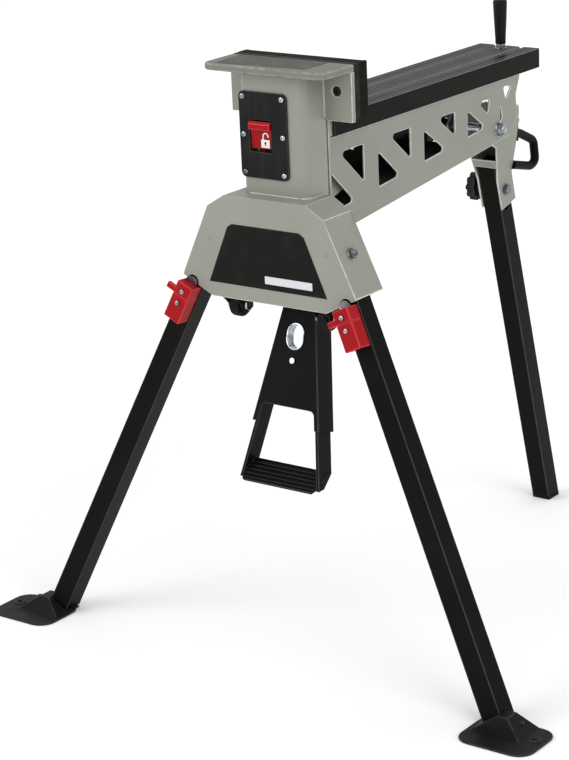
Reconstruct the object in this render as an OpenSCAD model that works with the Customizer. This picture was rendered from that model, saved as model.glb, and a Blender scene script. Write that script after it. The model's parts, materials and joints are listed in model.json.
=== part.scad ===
// Portable clamping workbench on three folding legs.
// A fixed jaw stands on a column at the front. A lattice beam runs rearward from the column and
// carries a long sliding rail. A pedal behind the column pulls on the drive plate under the rail.
// Units are millimetres. Front is -Y, up is +Z. The origin is on the floor, at the footprint's middle.

/* [Overall] */
// Height of the jaw's top plate above the floor
bench_h = 864; // [850:1:880]
// Sheet thickness of the cowl, beam, bracket and pedal
sheet_t = 3; // [2.5:0.1:3.2]
// Clearance between a turning pin and its bore, on the radius
pin_gap = 0.05; // [0.03:0.01:0.1]
// Clearance between parts that slide or swing past each other
slide_gap = 0.4; // [0.3:0.05:0.6]

/* [Jaw] */
// Width of the jaw, across the bench
jaw_w = 207; // [190:1:220]
// Depth of the top plate, from its front edge to the jaw face
top_plate_d = 75; // [72:1:90]
// Thickness of the top plate
top_plate_t = 10; // [8:0.5:12]
// Thickness of the jaw wings that back the pad
wing_t = 8; // [6:0.5:10]
// Distance from the top plate's upper face down to the lower edge of the wings
wing_drop = 80; // [76:1:84]
// Thickness of the pad's backing layer
pad_base_t = 12; // [9:0.5:14]
// Thickness of the pad's gripping layer
pad_face_t = 19; // [14:0.5:22]
// Height of the pad
pad_h = 76.5; // [70:0.5:80]
// How far the pad stands above the top plate
pad_rise = 0.5; // [0.5:0.5:6]
// Distance of each pad bolt from the middle
pad_bolt_x = 78; // [72:1:88]
// Distance from the top plate's upper face down to the pad bolts
pad_bolt_drop = 38; // [30:1:46]

/* [Column] */
// Width of the column
column_w = 112; // [108:1:116]
// Depth of the column
column_d = 54; // [50:1:58]
// Corner radius of the column
column_r = 12; // [8:0.5:15]
// Length of the column below the top plate
column_l = 254; // [235:1:256]
// Width of the switch plate
switch_w = 82; // [74:1:84]
// Height of the switch plate
switch_h = 122; // [112:1:126]
// Thickness of the switch plate
switch_t = 3; // [2:0.25:4]
// Distance of the switch plate's middle from the column's middle
switch_x = -13.5; // [-15:0.5:-12]
// Distance from the top plate's upper face down to the switch plate's middle
switch_drop = 99; // [94:1:104]

/* [Cowl] */
// Distance from the cowl's front face to the column's front face
cowl_ledge = 27; // [24:0.5:30]
// Depth of the cowl
cowl_d = 66; // [62:1:68]
// Distance from the top plate's upper face down to the cowl's top
cowl_drop = 183.5; // [180:0.5:187]
// Half width of the cowl's flat top
cowl_top_x = 70; // [66:1:74]
// Half width of the cowl at its shoulders
cowl_shoulder_x = 100; // [98:1:103]
// Height of the shoulders' slope
cowl_shoulder_h = 18; // [14:1:24]
// Height of the cowl's sloping sides
cowl_side_h = 106; // [102:1:110]
// Height of the cut lower corners
cowl_corner_h = 26; // [22:1:30]
// Half width of the cowl's flat lower edge
cowl_bottom_x = 99; // [94:1:103]

/* [Beam] */
// Half width of the beam over its side plates
beam_half_w = 52; // [50:0.5:54]
// Distance from the top plate's upper face down to the beam's top
beam_drop = 109; // [106:1:112]
// Depth of the beam's side plates at the column
beam_front_h = 141; // [136:1:146]
// Depth of the beam's side plates near the rear pivot
beam_rear_h = 96; // [92:1:100]
// Distance from the column to the rear pivot
beam_pivot_y = 449; // [440:1:455]
// Distance between neighbouring lattice cells
lattice_pitch = 120; // [116:1:122]
// Width of the lattice's upright struts
strut_w = 36; // [32:1:40]
// Distance from the beam's top to the lattice
chord_top = 25; // [22:1:28]
// Distance from the beam's lower edge to the lattice
chord_bottom = 34; // [31:1:37]

/* [Rail] */
// Length of the sliding rail
rail_l = 555; // [540:1:570]
// Half width of the rail
rail_half_w = 54.3; // [53.5:0.1:56]
// Height of the rail
rail_h = 30; // [28:0.5:31]
// Thickness of the rail's top
rail_top_t = 5; // [4.5:0.25:6]
// Width of each groove in the rail's top
groove_w = 9; // [7:0.5:11]
// Depth of each groove in the rail's top
groove_d = 3; // [1.5:0.25:3.5]
// Distance from the middle to the near side of each groove
groove_x = 18; // [15:0.5:22]
// Width of the draw bar
bar_w = 24; // [20:1:30]
// Height of the draw bar's lower part
bar_h = 12; // [10:0.5:13]
// Distance from the rail's rear end to the grip
grip_inset = 26; // [22:1:34]
// Length of the grip
grip_l = 69; // [60:1:72]
// Radius of the grip at its top
grip_top_r = 11; // [9.5:0.5:13]

/* [Front legs] */
// Lean of the legs outward, from upright
leg_splay = 25.6; // [24:0.1:26.5]
// Lean of the legs forward, from upright
leg_lean = 5.85; // [5:0.05:7]
// Outer size of the square leg tube
leg_size = 32; // [28:0.5:33]
// Wall of the leg tubes
leg_wall = 2; // [1.5:0.1:3]
// Distance from the top plate's upper face down to the leg pivots
leg_pivot_drop = 252; // [248:1:256]
// Distance from the cowl's front face back to the leg pivots
leg_pivot_back = 29; // [28:0.5:32]
// Radius of the leg pivot bolts
leg_bolt_r = 5; // [4:0.25:6]
// Width of a foot plate
foot_w = 115; // [105:1:120]
// Depth of a foot plate
foot_d = 90; // [78:1:96]
// Thickness of a foot plate
foot_t = 3; // [2.5:0.25:4]
// Radius of the hole for screwing a foot to the floor
foot_hole_r = 4; // [3:0.25:5]

/* [Leg latches] */
// Width of a latch across the leg
latch_w = 28; // [24:0.5:30]
// How far a latch stands out from the leg
latch_d = 24; // [20:0.5:26]
// Height of the latch's upper part
latch_slider_h = 20; // [18:0.5:24]
// Height of the latch's lower part
latch_cover_h = 39; // [28:0.5:42]
// Distance from the leg pivot down the leg to the latch's top
latch_top = 68; // [67:0.5:71]
// Radius of the steel stud that sits in the cowl's notch
stud_r = 8; // [6:0.25:8.5]

/* [Rear leg] */
// Lean of the rear leg, from upright
rear_lean = 14.6; // [13.5:0.1:15.5]
// Distance from the top plate's upper face down to the rear pivot
rear_pivot_drop = 184; // [181:1:188]
// Distance from the rear pivot back to the tube's middle
rear_tube_back = 40; // [38:0.5:42]
// Outer size of the square rear tube
rear_size = 32; // [28:0.5:33]
// Distance from the rear pivot down to the tube's top
rear_tube_top = 79; // [76:1:84]
// Distance from the rear pivot down to the clamp bolt
clamp_drop = 127; // [122:1:132]
// Radius of the clamp bolt
clamp_r = 5; // [4:0.25:6]
// Half width of the bracket at the pivot
bracket_half_w = 31; // [28:0.5:34]
// Radius of the rear pivot bolt
rear_bolt_r = 6; // [5:0.25:7]
// Radius of the clamp knob
knob_r = 23; // [20:0.5:25]
// Length of the clamp knob
knob_l = 20; // [17:0.5:24]
// Thickness of the loop handle
loop_r = 7; // [6:0.25:8]
// Distance of the loop handle from the middle
loop_x = 20; // [12:0.5:22]

/* [Pedal] */
// Forward lean of the pedal, from upright
pedal_lean = 15.8; // [14.5:0.1:16.5]
// Distance from the top plate's upper face down to the pedal's pivot
pedal_pivot_drop = 174; // [171:1:177]
// Distance from the jaw face back to the pedal's pivot
pedal_pivot_back = 60; // [57:0.5:63]
// Distance from the pedal's pivot down to the tread's underside
pedal_l = 455; // [440:1:465]
// Half width of the pedal's narrow upper part
pedal_top_x = 24; // [22:0.5:26]
// Half width of the pedal at its lower end
pedal_bottom_x = 75; // [70:0.5:78]
// Depth of the pedal's side flanges
pedal_d = 39; // [34:0.5:42]
// Radius of the pedal's pivot pin
pedal_pin_r = 6; // [5:0.25:7]
// Distance between the pedal's pivot and the lever's pin
lever_l = 52; // [50:0.5:54]

/* [Transport rollers] */
// Radius of the transport rollers
roller_r = 19; // [17:0.5:24]
// Width of each transport roller
roller_w = 16; // [14:0.5:22]
// Distance from the middle to the near end of each roller
roller_x = 69; // [64:0.5:72]
// Radius of the roller bolts
roller_bolt_r = 6; // [5:0.25:7]

/* [Hidden] */
$fn = 48;

paint = [0.61, 0.62, 0.58];
black = [0.13, 0.13, 0.13];
steel = [0.75, 0.76, 0.78];
red = [0.75, 0.05, 0.09];
nylon = [0.85, 0.85, 0.80];

// Small overshoot of a cut past the face that it goes through
cut = 1;

// Jaw and column
jaw_y = -245;
jaw_half_w = jaw_w / 2;
column_half_w = column_w / 2;
column_front = jaw_y - column_d;
column_top = bench_h - top_plate_t;
column_bottom = bench_h - column_l - top_plate_t;
wing_bottom = bench_h - wing_drop;
pad_top = bench_h + pad_rise;
pad_bottom = pad_top - pad_h;
pad_bolt_z = bench_h - pad_bolt_drop;
pad_bolt_hole_r = 7.4;
pad_bolt_head_r = 6.2;
pad_bolt_shank_r = 4;
pad_bolt_seat = 3;
pad_bolt_inset = 1;
plate_front_r = 14;
plate_rear_r = 2;

// Switch plate and rocker
switch_z = bench_h - switch_drop;
switch_front = column_front - switch_t;
switch_r = 8;
screw_inset = 7.5;
screw_shank_r = 2;
screw_head_r = 4;
screw_head_t = 2.2;
screw_grip = 2;
rocker_x = -19;
rocker_w = 36;
rocker_h = 41;
rocker_z = switch_z - 1;
rocker_axis_y = column_front + 9;
rocker_arm = 23;
rocker_lead = 9;
rocker_window = rocker_h + 4;
rocker_pin_r = 2.5;
rocker_arm_t = 4;
rocker_arm_half = 3;
rocker_lip = 4;
rocker_recess = 2;
// Column's opening for the rocker, from the rocker's middle: half width, depth below it, height above it
rocker_opening = [23.5, 36, 30];
trunnion_r = 3;
ear_t = 2.6;
ear_reach = 6;
ear_half_h = 7;
release_x = rocker_x - 11;
release_r = 2.5;
release_gap = 1.5;
release_z = rocker_z - rocker_arm * cos(rocker_lead);
release_y = rocker_axis_y + rocker_arm * sin(rocker_lead);

// Cowl
cowl_front = column_front - cowl_ledge;
cowl_rear = cowl_front + cowl_d;
cowl_top = bench_h - cowl_drop;
cowl_shoulder_z = cowl_top - cowl_shoulder_h;
cowl_side_z = cowl_shoulder_z - cowl_side_h;
cowl_side_x = cowl_shoulder_x + cowl_side_h * tan(leg_splay);
cowl_bottom = cowl_side_z - cowl_corner_h;
cowl_half = [[cowl_side_x, cowl_side_z], [cowl_shoulder_x, cowl_shoulder_z], [cowl_top_x, cowl_top]];
notch_r = stud_r + 2;
label_t = 0.8;
// Half outline of the label: distances from the middle and down from the cowl's top
label_half = [[102, 128.5], [66, 45.5], [58, 40.5]];
rivet_drop = 65.5;
rivet_z = cowl_top - rivet_drop;
rivet_x = cowl_shoulder_x + 1.5;
rivet_r = 2.5;
rivet_head_r = 4;
rear_plate_x = 75;
rear_plate_gap = 4;
rear_plate_rise = 40;

// Leg hinge: the origin of a leg's own frame is where its pivot meets the cowl's sloping side
leg_pivot_z = bench_h - leg_pivot_drop;
leg_pivot_x = cowl_shoulder_x + (cowl_shoulder_z - leg_pivot_z) * tan(leg_splay);
leg_pivot_y = cowl_front + leg_pivot_back;
hinge_gap = 1;
leg_outer = -sheet_t - hinge_gap;
leg_inner = leg_outer - leg_size;
leg_mid = (leg_outer + leg_inner) / 2;
leg_top = leg_size / 2;
leg_down = [-sin(leg_splay) * cos(leg_lean), sin(leg_lean), cos(leg_splay) * cos(leg_lean)];
leg_end = leg_pivot_z / (cos(leg_splay) * cos(leg_lean)) + 60;
cheek_inner = leg_inner - hinge_gap - sheet_t;
cheek_half_h = 26;
cheek_back = 35;
hinge_washer = [9, 1.5];
hinge_nut = [8, 6];

// Foot: the middle of the leg where it meets the floor
foot_run = (leg_pivot_z + leg_mid * sin(leg_splay)) / leg_down[2];
foot_x = leg_pivot_x + leg_mid * cos(leg_splay) - foot_run * leg_down[0];
foot_y = leg_pivot_y - foot_run * leg_down[1];
foot_inward = 30;
foot_forward = 77.45;
foot_r = 24;
foot_hole_x = 67;
foot_hole_y = 23;
// The raised boss at the leg's outer side: ends of its top and of its foot, from the leg's middle, and its height
boss_x = [8, 24];
boss_y = [-22, 2];
boss_foot_x = [-24, 54];
boss_foot_y = [-42, 12];
boss_high = 20;
// How far the boss's hollow stays back from its foot, in sheet thicknesses
boss_back = 2.2;
// Rivet head on the boss, from the leg's middle, and its height over the floor
boss_rivet = [38, -8];
boss_rivet_top = 16;

// Latch, in the leg's own frame: -Y is the leg's front and -Z runs down the leg
latch_back = -leg_size / 2;
latch_front = latch_back - latch_d;
latch_screw_drops = [12, 31];
latch_screw_out = 1.5;
track_t = 3;
track_w = 14;
track_short = 6;
tongue_t = 2.4;
tongue_half_w = 7;
tab_l = 14;
tab_h = 9;
tab_t = 6;
latch_split = 0.3;
latch_bottom = latch_top + latch_slider_h + latch_split + latch_cover_h;
latch_screw_r = 3.2;
tongue_back = latch_back - track_t - slide_gap;
stud_z = -latch_top + 5;
stud_depth = 4.8;
stud_gap = 1.2;

// Beam
beam_front = jaw_y + sheet_t + 1;
beam_top = bench_h - beam_drop;
beam_inner = beam_half_w - sheet_t;
pivot_y = jaw_y + beam_pivot_y + 4;
pivot_z = bench_h - rear_pivot_drop;
flange_w = 15;
beam_end_y = pivot_y + 64;
beam_fold_y = pivot_y - 13;
flange_end = beam_end_y - 10;
lattice_front = beam_front + 2;
// The tray between the side plates: its ends, its height above their lower edges and its flanges' height
tray_ends = [96, 48];
tray_y = [beam_front + tray_ends[0], pivot_y - tray_ends[1]];
tray_rise = 5;
tray_h = 28;
tray_t = 2;
// Width and height of each upper cell, from the front
upper_cells = [[59, 54], [54, 45], [48, 35]];
// Width and height of each lower cell, from the front
lower_cells = [[57, 59], [54, 52], [57, 46], [50, 40]];
// Corner radii of the cells, from the sharp corner at the beam's chord
upper_cell_r = [5, 3, 2.5];
lower_cell_r = [2.5, 4.5, 3];
// The last upper cell, with its cut corner, from the rear pivot
last_cell = [[-50, 46], [-30, 30], [-24, 51], [-45, 52]];
// The slit and the triangle near the rear pivot, from the pivot
pivot_slit = [[5, 9.6], [12, 17], [5, 39.4]];
rear_triangle = [[15.6, 63.6], [22.9, 41.3], [39.6, 60]];

// Rail and draw bar
rail_front = jaw_y + 18;
groove_slope = 2;
rail_rear = rail_front + rail_l;
rail_bottom = beam_top + slide_gap;
rail_top = rail_bottom + rail_h;
rail_roof = rail_top - rail_top_t;
rail_wall = 3;
runner_top = rail_roof - slide_gap;
runner_in = 28;
runner_out = 48;
bar_half_w = bar_w / 2;
bar_bottom = beam_top + 1;
bar_top = bar_bottom + bar_h;
web_half_w = 4;
bar_inset = 2.5;
boss_half_w = 22;
boss_l = 18;
grip_y = rail_rear - grip_inset;
stud_rod_r = 5;
stud_foot = bar_bottom + 2;
stud_washer = [9, 1.5];
stud_nut_r = 8;
stud_l = 40;
stud_nut_h = 7.6;
grip_bottom = rail_top + stud_nut_h;
grip_bottom_r = 8.2;
grip_bore = stud_l + 2;
grip_shoulder = 6;
grip_round = 4;

// Clamping works under the rail
rod_r = 4;
rod_z = beam_top - 14;
lever_lead = 11;
lever_pin_r = 4;
pedal_y = jaw_y + pedal_pivot_back;
pedal_z = bench_h - pedal_pivot_drop;
pin_y = pedal_y + lever_l * sin(lever_lead);
lever_t = 4;
lever_x = 9;
lever_hub_r = 15;
lever_eye_r = 9;
plate_t = 6;
plate_half_w = 22;
plate_low = rod_z - 13;
drive_y = 70;
hold_y = 25;
hold_t = 8;
hold_low = rod_z - 26;
hold_neck = 24;
plate_roof = rail_roof - 1.4;
rod_collar = [7, 5];
rod_eye_half = 7;

// Pedal, in its own frame: the origin is its pivot and -Z runs down the pedal
pedal_front = -16;
pedal_rear = pedal_front + pedal_d;
pedal_neck = 168;
pedal_arm_end = 365;
pedal_top = 14;
arm_cut = -24;
window_top = 338;
window_r = 8;
arm_lip = 8;
pedal_slope = (pedal_bottom_x - pedal_top_x) / (pedal_l - pedal_neck);
foot_fit = 0.4;
foot_frame_top = 260;
foot_front = pedal_front + sheet_t + 0.1;
foot_rear = pedal_rear - 3;
foot_lip = 5;
hub_r = 10;
hub_room = 16;
sleeve_z = 236;
sleeve_r = 15;
sleeve_half_l = 19.5;
sleeve_wall = 2;
sleeve_out = 2;
sleeve_l = 16;
pedal_bolt_z = 271;
pedal_bolt_r = 3;
pedal_bolt_head = [4.5, 3];
pedal_nut = [5.5, 4];
// The tread slopes from its rear upper edge to its front lower edge
tread_rear = [14, -pedal_l + 31];
tread_low = [-16, -pedal_l];
tread_t = 4;
tread_bevel = 12;
rib_r = 1.5;
ribs = 5;
hanger_x = 36;
hanger_low = 32;
hanger_high = 30;
pin_head = [9, 5];
spring_r = 9.5;

// Transport rollers
roller_y = cowl_front + 36;
roller_z = cowl_bottom - 17;
roller_arm_r = 12;
roller_arm_t = 3;
roller_gap = 1;
roller_nut = [9.5, 5];
roller_edge = 3;
roller_low = cowl_bottom + 4;
roller_high = cowl_bottom + 25;
roller_web_y = cowl_front + sheet_t;
roller_web_w = 16;
roller_end = roller_x + roller_w;

// Rear leg, in its own frame: the origin is its pivot and -Z runs down the leg
bracket_low = rear_size / 2 + slide_gap + sheet_t;
bracket_end = 156;
bracket_taper = 105;
bracket_front = 22;
bracket_throat = 47;
bracket_flat = 20;
// The bracket's rear outline, from its lower end up
bracket_rear_y = rear_tube_back + 25;
bracket_back = [[bracket_rear_y, -bracket_end], [bracket_rear_y, -109], [bracket_rear_y + 17, -69],
    [bracket_rear_y + 32, -6]];
// The bracket's upper outline, from its rear end over the pivot to its front
bracket_crown = [[30, 14], [0, 20], [-18, 10], [-20, -6]];
// The web across the bracket's front, over the tube's top
cross_web_half = 21;
cross_web_h = 13;
// Loop handle: where its tab runs on the bracket's web, and its bar's path from the rear pivot
loop_tab = [0.09, 0.78];
loop_tab_t = 4;
loop_path = [[86, -22], [115, -32], [156, -51], [161, -85], [146, -91], [80, -75]];
loop_bolt_r = 3.5;
loop_bolt_drop = 8;
loop_seat = bracket_rear_y + 30.9;
loop_head = [7, 3.3];
loop_nut = [5.5, 4.1];
cap_h = 8;
cap_plug = 24;
slot_up = 30;
slot_down = 32;
knob_gap = 2;
knob_floor = 8;
collar_h = 6;
collar_r = 14;
clamp_washer = [9, 1.5];
clamp_nut = [8, 5];
flutes = 10;
flute_r = 4.5;
spacer_r = 10;
pivot_washer = [12, 1.5];
dome_r = 11;
dome_h = 9;
dome_base = 3;

// Unit vector at the left of direction d
function left(d) = [-d[1], d[0]] / norm(d);

// Path moved sideways by t, to the left of its direction, with mitred corners
function shifted(path, t) = [for (i = [0:len(path) - 1])
    let (last = len(path) - 1,
        before = left(i == 0 ? path[1] - path[0] : path[i] - path[i - 1]),
        after = left(i == last ? path[last] - path[last - 1] : path[i + 1] - path[i]))
    path[i] + t * (before + after) / (1 + before * after)];

// Closed outline of a sheet of thickness t bent along a path
function strip(path, t) = let (other = shifted(path, t))
    concat(path, [for (i = [len(path) - 1:-1:0]) other[i]]);

// Points of the arc that rounds corner b, between a and c, with radius r
function corner_arc(a, b, c, r, n) = let (
        u = (a - b) / norm(a - b),
        v = (c - b) / norm(c - b),
        half = acos(u * v) / 2,
        centre = b + (u + v) / norm(u + v) * r / sin(half),
        from = b + u * r / tan(half) - centre,
        to = b + v * r / tan(half) - centre,
        start = atan2(from[1], from[0]),
        raw = atan2(to[1], to[0]) - start,
        turn = raw > 180 ? raw - 360 : raw < -180 ? raw + 360 : raw)
    [for (i = [0:n]) centre + r * [cos(start + turn * i / n), sin(start + turn * i / n)]];

// Closed outline with rounded corners; r is one radius, or one for each corner
function rounded(points, r, n = 4) = [for (i = [0:len(points) - 1])
    let (count = len(points), radius = is_list(r) ? r[i] : r)
    each (radius == 0 ? [points[i]] :
        corner_arc(points[(i + count - 1) % count], points[i], points[(i + 1) % count], radius, n))];

// Corners of a rectangle
function box2(x0, y0, x1, y1) = [[x0, y0], [x1, y0], [x1, y1], [x0, y1]];

// Mirror image of a half outline, joined to it
function mirrored(half) = concat(half, [for (i = [len(half) - 1:-1:0]) [-half[i][0], half[i][1]]]);

module block(x, y, z) {
    translate([x[0], y[0], z[0]])
        cube([x[1] - x[0], y[1] - y[0], z[1] - z[0]]);
}

// Outline in XZ, extruded along Y
module prism_y(points, y0, y1) {
    translate([0, y1, 0])
        rotate([90, 0, 0])
            linear_extrude(y1 - y0)
                polygon(points);
}

// Outline in YZ, extruded along X
module prism_x(points, x0, x1) {
    translate([x0, 0, 0])
        rotate([90, 0, 90])
            linear_extrude(x1 - x0)
                polygon(points);
}

module rod_x(r, x0, x1, y, z) {
    translate([x0, y, z])
        rotate([0, 90, 0])
            cylinder(r = r, h = x1 - x0);
}

module rod_y(r, y0, y1, x, z) {
    translate([x, y1, z])
        rotate([90, 0, 0])
            cylinder(r = r, h = y1 - y0);
}

module rod_z(r, z0, z1, x, y) {
    translate([x, y, z0])
        cylinder(r = r, h = z1 - z0);
}

// Hexagonal rod along X; r reaches to its corners
module hex_x(r, x0, x1, y, z) {
    translate([x0, y, z])
        rotate([0, 90, 0])
            cylinder(r = r, h = x1 - x0, $fn = 6);
}

module both_sides() {
    children();
    mirror([1, 0, 0])
        children();
}

// Side 1 is the right as seen from the front, side -1 the left
module on_side(side) {
    if (side > 0)
        children();
    else
        mirror([1, 0, 0])
            children();
}

// Frame of the cowl's sloping side: X points outward, Z up the slope
module side_frame() {
    translate([leg_pivot_x, leg_pivot_y, leg_pivot_z])
        rotate([0, -leg_splay, 0])
            children();
}

module leg_frame() {
    translate([leg_pivot_x, leg_pivot_y, leg_pivot_z])
        rotate([-leg_lean, -leg_splay, 0])
            children();
}

module rear_frame() {
    translate([0, pivot_y, pivot_z])
        rotate([rear_lean, 0, 0])
            children();
}

module pedal_frame() {
    translate([0, pedal_y, pedal_z])
        rotate([-pedal_lean, 0, 0])
            children();
}

// Places of the switch plate's six screws
module at_switch_screws() {
    for (dx = [-1, 1], row = [-1, 0, 1])
        translate([switch_x + dx * (switch_w / 2 - screw_inset), 0,
            switch_z + row * (switch_h / 2 - screw_inset)])
            children();
}

module column_section(inset) {
    polygon(rounded(box2(-column_half_w + inset, column_front + inset, column_half_w - inset, jaw_y - inset),
        [column_r - inset, column_r - inset, column_r / 2 - inset, column_r / 2 - inset]));
}

module column() {
    color(paint)
        difference() {
            translate([0, 0, column_bottom])
                linear_extrude(column_top - column_bottom)
                    column_section(0);
            translate([0, 0, column_bottom - cut])
                linear_extrude(column_top - column_bottom + 2 * cut)
                    column_section(sheet_t);
            prism_y(box2(rocker_x - rocker_opening[0], rocker_z - rocker_opening[1],
                rocker_x + rocker_opening[0], rocker_z + rocker_opening[2]),
                column_front - cut, column_front + sheet_t + cut);
            at_switch_screws()
                rod_y(screw_shank_r, column_front - cut, column_front + column_r, 0, 0);
            rod_y(release_r + release_gap, jaw_y - sheet_t - cut, jaw_y + cut, release_x, release_z);
        }
}

module top_plate() {
    color(paint)
        translate([0, 0, column_top])
            linear_extrude(top_plate_t)
                polygon(rounded(box2(-jaw_half_w, jaw_y - top_plate_d, jaw_half_w, jaw_y),
                    [plate_front_r, plate_front_r, plate_rear_r, plate_rear_r]));
}

module jaw_wings() {
    color(paint)
        both_sides()
            difference() {
                block([column_half_w, jaw_half_w], [jaw_y - wing_t, jaw_y], [wing_bottom, column_top]);
                rod_y(pad_bolt_hole_r, jaw_y - wing_t - cut, jaw_y - pad_bolt_seat, pad_bolt_x, pad_bolt_z);
                rod_y(pad_bolt_shank_r, jaw_y - wing_t, jaw_y + cut, pad_bolt_x, pad_bolt_z);
            }
}

module jaw_pad_base() {
    color(black)
        difference() {
            block([-jaw_half_w, jaw_half_w], [jaw_y, jaw_y + pad_base_t], [pad_bottom, bench_h]);
            for (x = [-pad_bolt_x, pad_bolt_x])
                rod_y(pad_bolt_shank_r, jaw_y - cut, jaw_y + pad_base_t - pad_bolt_seat, x, pad_bolt_z);
        }
}

module jaw_pad_face() {
    color(black)
        block([-jaw_half_w, jaw_half_w], [jaw_y + pad_base_t, jaw_y + pad_base_t + pad_face_t],
            [pad_bottom, pad_top]);
}

module jaw_pad_bolts() {
    color(black)
        both_sides() {
            rod_y(pad_bolt_head_r, jaw_y - wing_t + pad_bolt_inset, jaw_y - pad_bolt_seat, pad_bolt_x,
                pad_bolt_z);
            rod_y(pad_bolt_shank_r, jaw_y - pad_bolt_seat, jaw_y + pad_base_t - pad_bolt_seat, pad_bolt_x,
                pad_bolt_z);
        }
}

module switch_plate() {
    ear_x = rocker_w / 2 + slide_gap;
    color(black)
        difference() {
            union() {
                prism_y(rounded(box2(switch_x - switch_w / 2, switch_z - switch_h / 2,
                    switch_x + switch_w / 2, switch_z + switch_h / 2), switch_r), switch_front, column_front);
                for (side = [-1, 1])
                    translate([rocker_x + side * (ear_x + ear_t / 2), 0, rocker_z])
                        block([-ear_t / 2, ear_t / 2], [column_front - cut, rocker_axis_y + ear_reach],
                            [-ear_half_h, ear_half_h]);
            }
            prism_y(box2(rocker_x - rocker_w / 2 - slide_gap, rocker_z - rocker_window / 2,
                rocker_x + rocker_w / 2 + slide_gap, rocker_z + rocker_window / 2),
                switch_front - cut, column_front + cut);
            rod_x(trunnion_r + pin_gap, rocker_x - ear_x - ear_t - cut, rocker_x + ear_x + ear_t + cut,
                rocker_axis_y, rocker_z);
            at_switch_screws()
                rod_y(screw_shank_r, switch_front - cut, column_front + cut, 0, 0);
        }
}

module switch_plate_screws() {
    color(steel)
        at_switch_screws() {
            rod_y(screw_head_r, switch_front - screw_head_t, switch_front, 0, 0);
            rod_y(screw_shank_r, switch_front, column_front + sheet_t + screw_grip, 0, 0);
        }
}

// Red rocker with a raised upper lip, a recessed lower face and an arm for the release rod
module lock_rocker() {
    back = rocker_lip;
    lip = switch_front - rocker_lip - rocker_axis_y;
    face = switch_front + rocker_recess - rocker_axis_y;
    half_h = rocker_h / 2;
    lip_h = 11;
    chamfer = 3;
    side = [[back, half_h - 2], [lip + chamfer, half_h], [lip, half_h - chamfer], [lip, half_h - lip_h],
        [face, half_h - lip_h - 2], [face + 2, -half_h + 2], [back, -half_h + lip_h - 2]];
    arm_x = rocker_x - 7 - release_x;
    pin_x = rocker_w / 2 + slide_gap + ear_t;
    color(red)
        translate([release_x, rocker_axis_y, rocker_z])
            union() {
                translate([rocker_x - release_x, 0, 0]) {
                    prism_x(side, -rocker_w / 2, rocker_w / 2);
                    rod_x(trunnion_r, -pin_x, pin_x, 0, 0);
                }
                rotate([rocker_lead, 0, 0]) {
                    block([arm_x, arm_x + rocker_arm_t], [-rocker_arm_half, rocker_arm_half],
                        [-rocker_arm - rocker_arm_half, 0]);
                    rod_x(rocker_pin_r, -rocker_arm_t, arm_x + 1, 0, -rocker_arm);
                }
            }
}

// Rod from the rocker to the hold block, with an upright slot for the rocker's pin
module release_rod() {
    slot_half = rocker_pin_r + 0.6;
    eye_half_x = 2;
    eye_low = 6.5;
    eye_high = 5.5;
    eye_wall = 1.6;
    eye_end = release_y + 12;
    tip = hold_y + hold_t + 14;
    collar_l = 6;
    color(steel)
        union() {
            difference() {
                block([release_x - eye_half_x, release_x + eye_half_x],
                    [release_y - slot_half - eye_wall, eye_end], [release_z - eye_low, release_z + eye_high]);
                block([release_x - eye_half_x - cut, release_x + eye_half_x + cut],
                    [release_y - slot_half, release_y + slot_half],
                    [release_z - eye_low + 1.5 * eye_wall, release_z + eye_high - eye_wall]);
            }
            rod_y(release_r, eye_end, tip, release_x, release_z);
            rod_y(release_r + 3, tip - collar_l, tip, release_x, release_z);
        }
}

module cowl_shell() {
    outline = mirrored(concat([[cowl_bottom_x, cowl_bottom]], cowl_half));
    color(paint)
        difference() {
            union() {
                prism_y(outline, cowl_front, cowl_front + sheet_t);
                prism_y(strip(mirrored(cowl_half), sheet_t), cowl_front, cowl_rear);
            }
            translate([0, 0, cowl_top - sheet_t - cut])
                linear_extrude(sheet_t + 2 * cut)
                    column_section(0);
            both_sides() {
                side_frame()
                    rod_x(leg_bolt_r, -sheet_t - 2 * cut, cut, 0, 0);
                latch_notch();
            }
            both_sides()
                rod_y(rivet_r, cowl_front - cut, cowl_front + sheet_t + cut, rivet_x, rivet_z);
        }
}

// Half-round notch in the front plate's cut corner, where the latch stud sits
module latch_notch() {
    leg_frame()
        translate([leg_mid, 0, stud_z])
            rotate([leg_lean, 0, 0]) {
                rod_y(notch_r, -cowl_d, 0, 0, 0);
                block([-notch_r, notch_r], [-cowl_d, 0], [-notch_r, 0]);
            }
}

module cowl_rear_plate() {
    y0 = cowl_rear - sheet_t;
    color(paint)
        difference() {
            prism_y(box2(-rear_plate_x, cowl_bottom, rear_plate_x, cowl_top - sheet_t - rear_plate_gap),
                y0, cowl_rear);
            block([-column_half_w, column_half_w], [y0 - cut, cowl_rear + cut], [column_bottom, cowl_top]);
            both_sides()
                block([column_half_w - cut, rear_plate_x + cut], [y0 - cut, cowl_rear + cut],
                    [column_bottom + rear_plate_rise, cowl_top]);
        }
}

module cowl_label() {
    color(black)
        prism_y(mirrored([for (p = label_half) [p[0], cowl_top - p[1]]]), cowl_front - label_t, cowl_front);
}

module cowl_rivets() {
    color(paint)
        both_sides() {
            rod_y(rivet_r, cowl_front - 1, cowl_front + sheet_t, rivet_x, rivet_z);
            rod_y(rivet_head_r, cowl_front - 1.6, cowl_front, rivet_x, rivet_z);
        }
}

// Inner cheeks that carry the far ends of the leg pivot bolts
module leg_hinge_cheeks() {
    cheek_front = cowl_front + sheet_t - leg_pivot_y;
    color(paint)
        both_sides()
            side_frame()
                difference() {
                    block([cheek_inner, cheek_inner + sheet_t], [cheek_front, cheek_back],
                        [-cheek_half_h, cheek_half_h]);
                    rod_x(leg_bolt_r, cheek_inner - cut, cheek_inner + sheet_t + cut, 0, 0);
                }
}

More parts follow.
